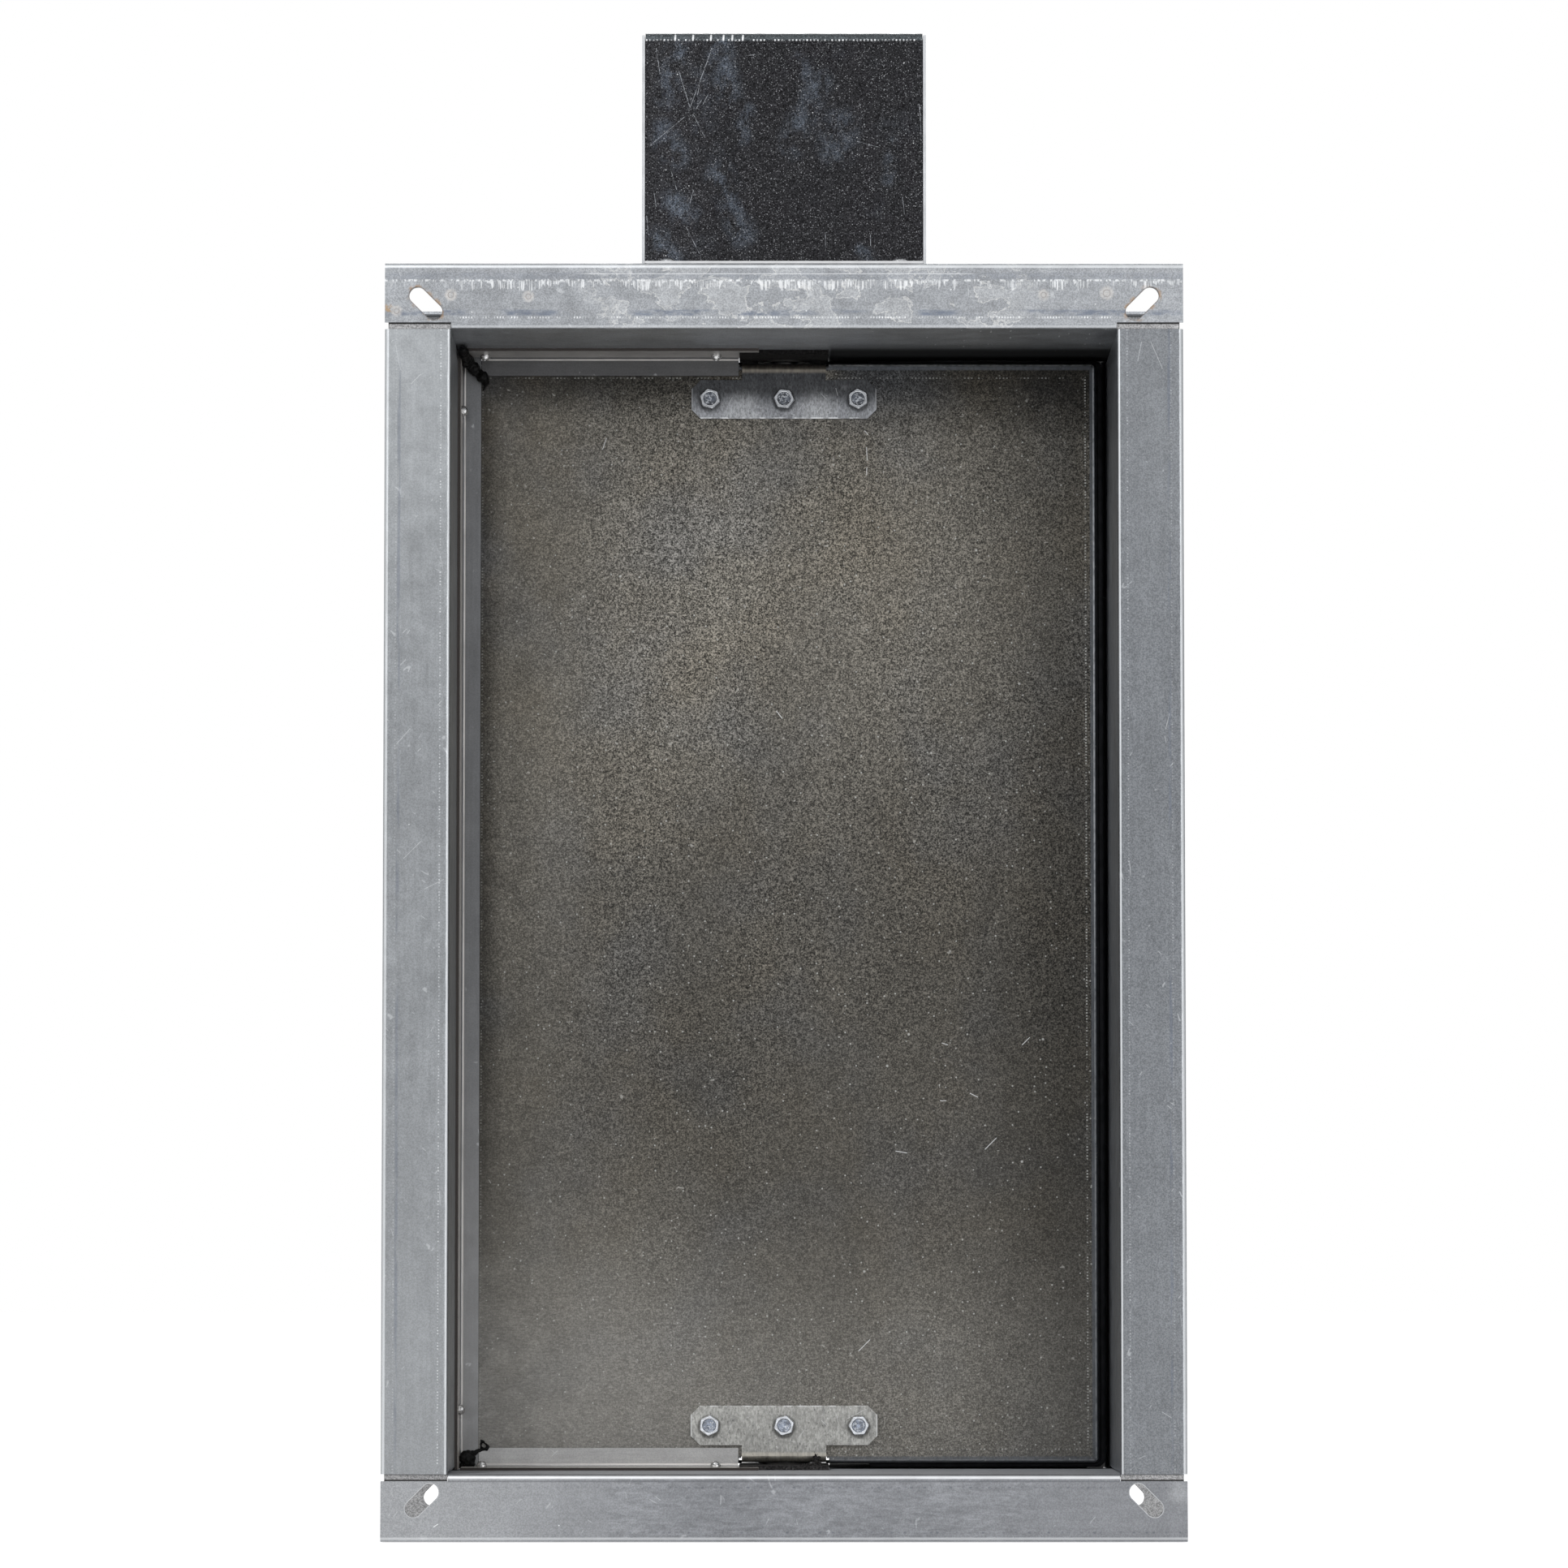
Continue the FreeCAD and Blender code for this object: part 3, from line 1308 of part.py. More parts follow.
nodes = [
    end_panel("top_panel", 1),
    end_panel("bottom_panel", -1),
    side_panel("left_panel", -1),
    side_panel("right_panel", 1),
    corner_plates("front_corner_plates", -1),
    corner_plates("rear_corner_plates", 1),
    end_stop("top_front_stop", 1),
    upright_stop("left_front_stop"),
    end_stop("bottom_front_stop", -1),
    group("front_stop_rivets", stop_rivet, stop_rivet_places()),
    turned(end_stop("top_rear_stop", 1)),
    turned(upright_stop("right_rear_stop")),
    turned(end_stop("bottom_rear_stop", -1)),
    group("rear_stop_rivets", stop_rivet, turned_places(stop_rivet_places())),
    bush("upper_bush", 1),
    bush("lower_bush", -1),
    group("bush_nuts", bush_nut, bush_nut_seats),
    axle_pad("upper_axle_pad", 1),
    axle_pad("lower_axle_pad", -1),
    upper_sealant("upper_corner_sealant"),
    lower_sealant("lower_corner_sealant"),
    console("actuator_console"),
    housing_base("housing_base"),
    group("base_screws", base_screw, base_screw_places()),
    group("base_nuts", base_nut, base_nut_seats),
    housing_cover("housing_cover"),
    group("cover_screws", dome_screw, cover_screw_places()),
    cable_grommet("cable_grommet"),
    actuator_body("actuator_body"),
    actuator_stay("actuator_stay"),
    group("stay_screws", dome_screw, stay_screw_places()),
    trip_body("thermal_trip_body"),
    trip_probe("thermal_trip_probe"),
    blade_pan("front_blade_sheet"),
    turned(blade_pan("rear_blade_sheet")),
    blade_core("blade_core"),
    edge_seals("blade_edge_seal"),
    blade_bracket("upper_blade_bracket", 1),
    blade_bracket("lower_blade_bracket", -1),
    group("bracket_bolts", bracket_bolt, bolt_seats),
    group("bracket_nuts", bracket_nut, nut_seats),
    drive_axle("drive_axle"),
    lower_axle("lower_axle"),
    retaining_ring("lower_axle_ring"),
    actuator_hub("actuator_hub"),
    group("hub_clamp_screws", clamp_screw, clamp_screw_places()),
]
doc.recompute()

for thing in doc.Objects:
    if {"Invalid", "Error"} & set(thing.State):
        raise ValueError(f"{thing.Label} was not built: {thing.State}")
os.makedirs("parts", exist_ok=True)
for node in nodes:
    if node.Shape.isNull() or not node.Shape.isValid():
        raise ValueError(f"{node.Label} has no valid shape")
    node.Shape.exportStep(f"parts/{node.Label}.step")
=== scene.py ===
import math
import random

import bmesh
import bpy
from mathutils import Matrix, Vector, noise


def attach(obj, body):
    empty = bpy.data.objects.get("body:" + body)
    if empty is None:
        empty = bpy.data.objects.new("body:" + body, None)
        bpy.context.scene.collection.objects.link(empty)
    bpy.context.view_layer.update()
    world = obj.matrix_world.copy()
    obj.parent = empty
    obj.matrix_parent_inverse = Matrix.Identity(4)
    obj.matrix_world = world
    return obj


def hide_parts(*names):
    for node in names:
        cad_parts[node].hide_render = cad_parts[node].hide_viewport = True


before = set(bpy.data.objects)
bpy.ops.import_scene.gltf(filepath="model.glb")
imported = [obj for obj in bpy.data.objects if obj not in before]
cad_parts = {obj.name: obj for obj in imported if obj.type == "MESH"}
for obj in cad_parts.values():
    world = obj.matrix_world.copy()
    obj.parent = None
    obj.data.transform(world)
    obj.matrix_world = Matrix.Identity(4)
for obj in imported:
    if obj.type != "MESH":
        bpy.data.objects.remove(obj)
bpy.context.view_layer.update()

# Case panels. Four walls of galvanised sheet, each folded at both ends of the duct into a flange with a
# lip, and welded together at the corners through plates. The zinc is pale grey, cloudy and finely grained,
# with painted highlights along the folds, forming dots beside them, weld rings and a little rust at cut
# edges.
# Parts of the faces are also painted lighter or darker as painted light and shade.

mm = 0.001


def srgb(*levels):
    """A colour given by its 0 to 255 display levels, as the shader's linear values."""
    linear = [v / 255 / 12.92 if v <= 10 else ((v / 255 + 0.055) / 1.055) ** 2.4 for v in levels]
    return (*linear, 1.0)


class Paint:
    """A procedural material that is put together from short steps. Places and sizes are in millimetres."""

    def __init__(self, name, metal, rough, specular=0.5):
        self.material = bpy.data.materials.new(name)
        self.material.use_nodes = True
        self.tree = self.material.node_tree
        self.shader = self.tree.nodes["Principled BSDF"]
        self.shader.inputs["Metallic"].default_value = metal
        self.shader.inputs["Roughness"].default_value = rough
        self.shader.inputs["Specular IOR Level"].default_value = specular
        place = self.node("ShaderNodeTexCoord").outputs["Object"]
        scale = self.node("ShaderNodeVectorMath", operation="SCALE")
        self.put(scale.inputs[0], place)
        self.put(scale.inputs["Scale"], 1 / mm)
        self.place = scale.outputs[0]
        self.x, self.y, self.z = self.node("ShaderNodeSeparateXYZ", self.place).outputs

    def node(self, kind, *inputs, **settings):
        made = self.tree.nodes.new(kind)
        for key, value in settings.items():
            setattr(made, key, value)
        for socket, value in zip(made.inputs, inputs):
            self.put(socket, value)
        return made

    def put(self, socket, value):
        if isinstance(value, bpy.types.NodeSocket):
            self.tree.links.new(value, socket)
        elif value is not None:
            socket.default_value = value

    def math(self, operation, *values):
        return self.node("ShaderNodeMath", *values, operation=operation).outputs[0]

    def all_of(self, *levels):
        total = levels[0]
        for level in levels[1:]:
            total = self.math("MULTIPLY", total, level)
        return total

    def any_of(self, *levels):
        total = levels[0]
        for level in levels[1:]:
            total = self.math("MAXIMUM", total, level)
        return total

    def ramp(self, value, low, high, start=0.0, end=1.0):
        """Value mapped from low..high to start..end, with soft ends and never beyond them."""
        made = self.node("ShaderNodeMapRange", value, low, high, start, end, interpolation_type="SMOOTHSTEP")
        return made.outputs[0]

    def off(self, value, centre=None):
        """How far a value lies from a centre, or else from zero."""
        if centre is not None:
            value = self.math("SUBTRACT", value, centre)
        return self.math("ABSOLUTE", value)

    def rest(self, level):
        """What a level leaves of 1."""
        return self.math("SUBTRACT", 1.0, level)

    def length(self, u, v):
        """The length of a line from its two legs."""
        square = self.math("ADD", self.math("MULTIPLY", u, u), self.math("MULTIPLY", v, v))
        return self.math("SQRT", square)

    def noise(self, size, detail=2.0, stretch=(1, 1, 1), seed=0.0, rough=0.5, twist=0.0, turn=0.0):
        """Soft noise from 0 to 1 of that grain size, longer where stretch is under 1, turned about Y."""
        long = tuple(1 / share for share in stretch)
        spin = (0, math.radians(turn), 0)
        place = self.node("ShaderNodeMapping", self.place, (seed,) * 3, spin, long, vector_type="TEXTURE")
        made = self.node("ShaderNodeTexNoise")
        for name, value in (("Vector", place.outputs[0]), ("Scale", 1 / size), ("Detail", detail),
                            ("Roughness", rough), ("Distortion", twist)):
            self.put(made.inputs[name], value)
        return made.outputs[0]

    def vary(self, low, high, *grain, **more):
        """Levels from low to high that follow the middle of a noise."""
        return self.ramp(self.noise(*grain, **more), 0.3, 0.7, low, high)

    def specks(self, spacing, radius, share, seed=0.0, stretch=(1, 1, 1)):
        """Small round spots, one in a share of the cells of a random grid."""
        place = self.node("ShaderNodeMapping", self.place, (seed,) * 3, None, stretch).outputs[0]
        made = self.node("ShaderNodeTexVoronoi")
        self.put(made.inputs["Vector"], place)
        self.put(made.inputs["Scale"], 1 / spacing)
        chance = self.node("ShaderNodeSeparateColor", made.outputs["Color"]).outputs[0]
        spot = self.ramp(made.outputs["Distance"], radius / spacing * 0.5, radius / spacing, 1.0, 0.0)
        return self.all_of(spot, self.ramp(chance, 1 - share, 1 - share * 0.5))

    def near(self, value, centre, reach, soft):
        """1 within reach of centre and 0 beyond soft more."""
        return self.ramp(self.off(value, centre), reach, reach + soft, 1.0, 0.0)

    def over(self, under, colour, *levels):
        """A colour laid over another as far as all the levels let it."""
        made = self.node("ShaderNodeMix", data_type="RGBA")
        self.put(made.inputs["Factor"], self.all_of(*levels))
        self.put(made.inputs[6], under)
        self.put(made.inputs[7], colour)
        return made.outputs[2]

    def lay(self, colour, *levels):
        """Lays a colour over the paint so far."""
        self.colour = self.over(self.colour, colour, *levels)

    def shade(self, colour, *levels):
        """A colour whose brightness is multiplied by each of the levels."""
        made = self.node("ShaderNodeVectorMath", operation="SCALE")
        self.put(made.inputs[0], colour[:3] if isinstance(colour, tuple) else colour)
        self.put(made.inputs["Scale"], self.all_of(*levels))
        return made.outputs[0]

    def hairlines(self, length, gap, turn, share, seed=0.0):
        """Straight hair scratches of one direction, where a stretched noise passes its middle level."""
        level = self.noise(gap, 0, (gap / length, 1, 1), seed, turn=turn)
        where = self.ramp(self.noise(length * 0.35, 1, seed=seed + 7), 1 - share, 1.04 - share)
        return self.all_of(self.ramp(self.off(level, 0.5), 0.04 / gap, 0.18 / gap, 1.0, 0.0), where)

    def away(self, start, end):
        """How far a point lies from a line between two points (x, z), seen along Y."""
        middle = (Vector(end) + Vector(start)) / 2
        run = Vector(end) - Vector(start)
        half = run.length / 2
        run.normalize()
        u = self.math("SUBTRACT", self.x, middle.x)
        v = self.math("SUBTRACT", self.z, middle.y)
        along = self.math("ADD", self.math("MULTIPLY", u, run.x), self.math("MULTIPLY", v, run.y))
        beside = self.math("SUBTRACT", self.math("MULTIPLY", v, run.x), self.math("MULTIPLY", u, run.y))
        past = self.math("MAXIMUM", self.math("SUBTRACT", self.off(along), half), 0.0)
        return self.length(past, beside)

    def stroke(self, start, end, width):
        """A single scratch from start to end, seen along Y."""
        return self.ramp(self.away(start, end), width * 0.3, width, 1.0, 0.0)

    def disc(self, centre, radius, soft, across=None):
        """A round spot, seen along Y."""
        u = self.math("SUBTRACT", self.x if across is None else across, centre[0])
        v = self.math("SUBTRACT", self.z, centre[1])
        return self.ramp(self.length(u, v), radius, radius + soft, 1.0, 0.0)

    def ring(self, centre, radius, width):
        """A round line, seen along Y."""
        inner = self.disc(centre, radius - width, width)
        return self.all_of(self.disc(centre, radius, width), self.rest(inner))

    def dots(self, along, across, line, pitch, size):
        """A row of forming dots: spots of changing strength at an even pitch beside a fold."""
        phase = self.math("FRACT", self.math("DIVIDE", along, pitch))
        spot = self.ramp(self.off(phase, 0.5), 0.14, 0.3, 1.0, 0.0)
        strength = self.ramp(self.noise(4, 3, seed=line), 0.4, 0.62)
        return self.all_of(self.near(across, line, size * 0.3, size * 0.4), spot, strength)

    def bump(self, height, depth):
        """Relief of the given depth."""
        made = self.node("ShaderNodeBump")
        for name, value in (("Strength", 1.0), ("Distance", depth * mm), ("Height", height)):
            self.put(made.inputs[name], value)
        self.put(self.shader.inputs["Normal"], made.outputs[0])

    def finish(self, rough=None, metal=None):
        self.put(self.shader.inputs["Base Color"], self.colour)
        self.put(self.shader.inputs["Roughness"], rough)
        self.put(self.shader.inputs["Metallic"], metal)
        return self.material


def wear(material, *names):
    """Gives the CAD nodes of those names a material."""
    for name in names:
        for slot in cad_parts[name].material_slots:
            slot.material = material


def galvanised(name, tone, run, grain=0.2):
    """Zinc coated sheet: clouds, smudges, streaks rolled along one axis, fine grain and hair scratches."""
    paint = Paint(name, 0.9, 0.4)
    clouds = paint.vary(0.94, 1.06, 60, 3)
    smudges = paint.ramp(paint.noise(13, 4, twist=0.6), 0.32, 0.68, 0.96, 1.04)
    thin = tuple(0.06 if axis == run else 1 for axis in "xyz")
    streaks = paint.vary(0.95, 1.05, 1.6, 3, thin)
    paint.fine = paint.ramp(paint.noise(0.75, 2, rough=0.7), 0.32, 0.68, 1 - grain, 1 + grain)
    paint.colour = paint.shade(tone, clouds, smudges, streaks, paint.fine)
    tint = paint.ramp(paint.noise(45, 3, seed=11), 0.5, 0.75, 0, 0.2)
    paint.lay(paint.shade(paint.colour, 0.95), tint)
    lines = paint.any_of(
        paint.hairlines(30, 5, 38, 0.29),
        paint.hairlines(22, 5, -55, 0.29, 5.0),
        paint.hairlines(40, 6, 80, 0.28, 9.0),
    )
    paint.lay(srgb(222, 225, 228), lines, 0.25)
    paint.gloss = paint.vary(0.33, 0.47, 9, 4)
    paint.bump(paint.noise(1.1, 3), 0.012)
    return paint


# Pale tone for scratches and marks, and for the painted highlights on the brackets' edges.
white_mark_and_highlight = srgb(232, 234, 236)
# Pale tone for real marks, and for the painted highlights along the folds.
pale_mark_and_highlight = srgb(214, 217, 220)
slot_centre = (188.5, 313.5)
slot_run = 4.25
slot_radius = 4.5
middle_z = 335
flange_from = 97.5
flange_full = 99.5
opening_reach = 174.5


def slot_distance(paint, side, level):
    """The distance of a point on the flange from the middle line of a corner's slot."""
    x, z = side * slot_centre[0], level * slot_centre[1] + middle_z
    run = (side * slot_run, level * slot_run)
    return paint.away((x - run[0], z - run[1]), (x + run[0], z + run[1]))


top = galvanised("top_panel_zinc", srgb(147, 150, 154), "x", 0.22)
face = top.ramp(top.off(top.y), flange_from, flange_full)
stroke_foot = top.ramp(top.noise(3, 2, (1, 1, 0.02)), 0.35, 0.65, 654.9, 659.5)
strokes = top.all_of(
    top.ramp(top.math("SUBTRACT", top.z, stroke_foot), 0, 0.8),
    top.ramp(top.z, 659.9, 661.0, 1.0, 0.0),
    top.ramp(top.noise(0.9, 1, (1, 1, 0.04)), 0.44, 0.6),
    top.ramp(top.noise(16, 2, (1, 1, 0.1), 3), 0.3, 0.58),
    top.ramp(top.x, -175, -150, 0.25, 1.0),
)
beaded = top.ramp(top.noise(1.2, 2, (1, 1, 0.3)), 0.5, 0.62)
beads = top.all_of(top.near(top.z, 660.7, 0.3, 0.5), beaded, 0.8)
row = top.all_of(top.dots(top.x, top.z, 641.1, 1.5, 1.0), top.near(top.x, -1, 172, 2))
roller = top.all_of(top.near(top.z, 664.2, 0.1, 0.3), top.near(top.x, -4, 98, 10), 0.6)
edge = top.noise(14, 5, (0.8, 1, 1.2), 4, 0.55, 0.4)
patches = top.all_of(top.ramp(edge, 0.52, 0.535), top.near(top.x, 15, 100, 30))
outline = top.all_of(top.near(edge, 0.527, 0.004, 0.01), top.near(top.x, 15, 100, 30))
top.lay(top.shade(srgb(184, 186, 188), top.fine), patches, face, 0.3)
top.lay(srgb(214, 214, 212), outline, face, 0.45)
cool = top.any_of(
    top.all_of(top.near(top.z, 643.6, 0.9, 1.3), top.ramp(top.noise(9, 3, (0.3, 1, 1)), 0.42, 0.6)),
    top.all_of(top.near(top.z, 663, 1.2, 1.2), 0.3),
)
cool = top.all_of(cool, top.ramp(top.noise(1.4, 3, (0.3, 1, 1)), 0.3, 0.65, 0.2, 0.85), face)
top.lay(srgb(104, 112, 126), cool)
haze = top.ramp(top.noise(2, 3), 0.3, 0.65, 0.4, 1.0)
for x, z, size in (
    (-175.3, 653, 1.0), (-134.5, 652.2, 0.9), (136.6, 653, 0.9), (169.8, 653.9, 1.2), (-203.8, 644.5, 0.9)
):
    halo = top.disc((x, z), 2.2 * size, 1.8)
    weld = top.ring((x, z), 1.5 * size, 0.5)
    top.lay(srgb(202, 198, 194), halo, haze, face, 0.55)
    top.lay(srgb(112, 106, 102), weld, haze, face, 0.6)
marks = top.any_of(
    top.all_of(strokes, 0.9), beads, row, roller, top.all_of(top.specks(4, 0.5, 0.16), 0.8)
)
top.lay(white_mark_and_highlight, marks, face, 0.72)
dust = top.specks(2.6, 0.6, 0.5, 2, (1, 0.14, 1))
top.lay(white_mark_and_highlight, dust, top.near(top.x, 130, 38, 40), top.rest(face), 0.8)
for side in (-1, 1):
    from_slot = slot_distance(top, side, 1)
    stained = top.ramp(from_slot, slot_radius + 0.2, slot_radius + 2.4, 1.0, 0.0)
    patchy = top.ramp(top.noise(4, 3, seed=side + 8), 0.46, 0.62)
    top.lay(srgb(150, 124, 96), stained, face, patchy, 0.75)
    rim = top.near(from_slot, slot_radius + 0.15, 0.1, 0.25)
    top.lay(srgb(96, 84, 74), rim, face, 0.6)
stain = top.disc((-208.4, 645.6), 0.6, 3.2)
top.lay(srgb(166, 138, 102), stain, top.ramp(top.noise(1.6, 3), 0.42, 0.6), face, 0.75)
# Painted highlight along the outer fold, and a weaker one along the fold into the opening.
fold = top.any_of(
    top.near(top.z, 668.2, 0.5, 0.7),
    top.all_of(top.near(top.z, 636.2, 0.35, 0.5), top.near(top.x, 0, opening_reach, 0.5), 0.5),
)
top.lay(pale_mark_and_highlight, fold, face, 0.7)
# Inside, the ceiling is painted 1.35 times lighter as painted light, and its right part beside the pad,
# above the blade's edge, is painted nearly black as painted shade.
painted_shade_ceiling = top.all_of(
    top.ramp(top.y, -54, -4), top.ramp(top.y, 28, 48, 1.0, 0.0), top.ramp(top.x, 22, 26),
    top.ramp(top.z, 635.6, 636.2, 1.0, 0.0),
)
top.colour = top.over(top.shade(top.colour, top.ramp(painted_shade_ceiling, 0, 1, 1.35, 0.03)), top.colour, face)
deep = top.ramp(top.off(top.y), 96, 100, 0.75, 0.9)
wear(top.finish(top.math("MAXIMUM", top.gloss, painted_shade_ceiling), deep), "top_panel")

bottom = galvanised("bottom_panel_zinc", srgb(128, 130, 134), "x", 0.15)
face = bottom.ramp(bottom.off(bottom.y), 97.2, flange_full)
row = bottom.any_of(*(bottom.dots(bottom.x, bottom.z, line, 3.4, 0.9) for line in (28.2, 4.9)))
plain = bottom.colour
bottom.lay(srgb(84, 88, 96), row, face, 0.55)
# Painted light: the flange is lighter towards its left end and in a spot near its right end, and darker
# towards the right.
painted_light_ends = bottom.all_of(bottom.disc((206, 26), 1, 9), 0.3)
painted_light_ends = bottom.any_of(painted_light_ends, bottom.ramp(bottom.x, -190, -30, 0.4, 0.0))
bottom.lay(bottom.shade(srgb(184, 186, 188), bottom.fine), painted_light_ends, face)
bottom.colour = bottom.shade(bottom.colour, bottom.ramp(bottom.x, 90, 190, 1.0, 0.9))
rolled = bottom.vary(0.86, 1.12, 2.2, 3, (0.25, 1, 1), 6, twist=0.8)
bottom.lay(bottom.shade(bottom.colour, rolled), bottom.near(bottom.x, 20, 110, 3), face)
weld = bottom.ring((-201.2, 26), 3.2, 0.4)
bottom.lay(pale_mark_and_highlight, weld, face, 0.14)
nick = bottom.stroke((-182.2, 7.8), (-180.0, 9.2), 0.28)
bottom.lay(white_mark_and_highlight, bottom.any_of(nick, bottom.specks(9, 0.45, 0.1)), face, 0.8)
for side in (-1, 1):
    rim = bottom.near(slot_distance(bottom, side, -1), slot_radius + 0.2, 0.1, 0.25)
    bottom.lay(srgb(206, 208, 210), rim, face, 0.45)
# Painted highlight on the fold into the opening with a painted shade line below it, and a painted highlight
# along the lower edge.
within = bottom.near(bottom.x, 0, opening_reach, 0.5)
bottom.lay(srgb(220, 222, 224), bottom.near(bottom.z, 33.5, 0.5, 0.6), within, face, 0.8)
bottom.lay(srgb(90, 92, 96), bottom.near(bottom.z, 31.4, 0.2, 0.5), within, face, 0.5)
bottom.lay(srgb(206, 208, 210), bottom.near(bottom.z, 1.7, 0.4, 0.5), face, 0.5)
# Painted light: the inside floor is painted 1.9 times lighter than the sheet.
bottom.lay(bottom.shade(plain, 1.9), bottom.rest(face), 0.85)
shine = bottom.ramp(bottom.off(bottom.y), 96, 100, 0.05, 0.9)
wear(bottom.finish(bottom.gloss, shine), "bottom_panel")

for name, tone, grain, lines, painted_light_share, inner, strokes in (
    ("left_panel", srgb(133, 136, 139), 0.15, ((-180.4, 0.8), (-203.8, 0.3)), 0.22, 1.3,
     (((-196, 606), (-191, 611)), ((-199, 356), (-190, 365)), ((-188, 340), (-178, 345)),
      ((-203, 416), (-196, 424)))),
    ("right_panel", srgb(109, 112, 116), 0.26, ((180.4, 0.4), (203.4, 0.25)), 0.06, 1.6,
     (((186, 618), (188, 628)), ((199, 614), (193, 628)), ((200, 424), (202, 432)))),
):
    side = galvanised(name + "_zinc", tone, "z", grain)
    reach = side.off(side.x)
    face = side.ramp(side.off(side.y), flange_from, flange_full)
    rows = [side.all_of(side.dots(side.z, side.x, x, 1.6, 0.7), strength) for x, strength in lines]
    # Painted highlights along the outer fold and along the fold into the opening.
    outer_fold_highlight = side.all_of(side.near(reach, 208.7, 0.4, 0.6), 0.8)
    fold_highlights = side.any_of(outer_fold_highlight, side.near(reach, 176.2, 0.25, 0.35))
    streak = side.ramp(side.noise(3, 3, (1, 1, 0.1)), 0.4, 0.6)
    band = side.all_of(side.near(reach, 202.3, 0.4, 0.8), streak, 0.35)
    # Forming dots, specks and the painted fold highlights, laid in one pale tone.
    marks = side.any_of(*rows, side.all_of(side.specks(7, 0.45, 0.15), 0.8), fold_highlights)
    # Painted light: the flange face is lighter towards its top and, less, towards its bottom.
    side.lay(srgb(196, 200, 203), side.ramp(side.z, 420, 640, 0.0, painted_light_share), face)
    side.lay(srgb(196, 198, 200), side.ramp(side.z, 60, 260, painted_light_share * 0.6, 0.0), face)
    side.lay(srgb(90, 98, 114), band, face)
    side.lay(pale_mark_and_highlight, marks, face, 0.8)
    for start, end in strokes:
        side.lay(white_mark_and_highlight, side.stroke(start, end, 0.25), face, 0.25)
    # Painted light: the inner faces are painted lighter, 1.3 times on the left and 1.6 times on the right.
    side.colour = side.over(side.shade(side.colour, inner), side.colour, face)
    wear(side.finish(side.gloss), name)

# Corner plates. Galvanised angles behind the corners of each flange frame, spot welded to it, which tie
# the four panels together. They carry the bolt slots, and show through the gaps beside the end panels.

plates = galvanised("corner_plate_zinc", srgb(142, 142, 143), "x", 0.4)
level = plates.off(plates.z, middle_z)
# Painted shadows: dark lines where the panels' edges step over the plates.
painted_shadow_lines = plates.any_of(plates.near(level, 303.4, 0.5, 0.4), plates.near(level, 299.9, 0.2, 0.4))
plates.lay(srgb(34, 33, 33), painted_shadow_lines, 0.92)
# Painted light: the rear plates' faces towards the duct are painted lighter where they show through the
# front slots.
painted_light_rear = plates.ramp(plates.y, 96.6, 96.8, 0.15, 0.0)
plates.lay(plates.shade(srgb(226, 226, 226), plates.fine), painted_light_rear, plates.ramp(plates.y, 0, 90))
wear(plates.finish(plates.gloss), "front_corner_plates", "rear_corner_plates")

# Stops. Folded strips that the blade closes against: three on the left at the front and three on the
# right at the back, each riveted to its wall through the longer leg. Their sheared edges are dark. Their
# bends carry painted highlights, their legs are painted lighter as lit faces, and the stops' tones carry
# painted light and shade.

wall_x = 175
floor_z = 35
ceiling_z = 635
axle_y = 20
stop_sheet = 1.5

# Painted light and shade: the top stops are painted darker, as shaded by the ceiling, and the bottom stops
# lighter, as lit; each leg tone is a painted lit face.
for names, tone, leg_tone, run in (
    (("top_front_stop", "top_rear_stop"), srgb(82, 82, 83), srgb(178, 175, 172), "x"),
    (("left_front_stop", "right_rear_stop"), srgb(102, 103, 105), srgb(196, 191, 186), "z"),
    (("bottom_front_stop", "bottom_rear_stop"), srgb(158, 158, 158), srgb(226, 221, 216), "x"),
):
    strip = galvanised(names[0] + "_zinc", tone, run, 0.08)
    depth = strip.off(strip.y, axle_y)
    sheared = strip.ramp(depth, 42.1, 42.25)
    leg = strip.ramp(depth, 14.5, 15.5)
    # Painted light: the side stops are lighter towards the bottom.
    low = strip.ramp(strip.z, 60, 330, 0.3 if run == "z" else 0.0, 0.0)
    strip.lay(srgb(170, 170, 170), low)
    # Painted light: the legs are laid in their lighter tone as lit faces.
    painted_light = strip.shade(leg_tone, strip.fine, strip.vary(0.88, 1.08, 14, 4))
    strip.lay(painted_light, leg, 0.9)
    strip.lay(srgb(44, 38, 35), sheared)
    from_wall = strip.math("SUBTRACT", wall_x, strip.off(strip.x))
    if run == "x":
        from_wall = strip.math("SUBTRACT", ceiling_z - middle_z, strip.off(strip.z, middle_z))
    # Painted highlight along each bend, broken by noise.
    bend_highlight = strip.all_of(strip.near(from_wall, 2.7, 0.15, 0.35), strip.ramp(depth, 15.5, 16.5, 1.0, 0.0))
    highlight_break = strip.ramp(strip.noise(6, 3, (0.2, 1, 0.2)), 0.3, 0.6, 0.6, 1.0)
    strip.lay(srgb(236, 232, 228), bend_highlight, highlight_break, 0.75)
    shine = strip.all_of(strip.ramp(depth, 14, 15.5, 0.9, 0.35), strip.ramp(bend_highlight, 0, 1, 1.0, 0.3))
    wear(strip.finish(strip.gloss, shine), *names)

# Stop rivets. Aluminium blind rivets of 3.2 mm: a tall dome towards the duct with the broken mandrel sunk
# in its middle, and a squashed tail outside the wall.

rivet_head = 2.9
rivet_rise = 3.2
rivet_tail = 2.3
tail_rise = 2.6


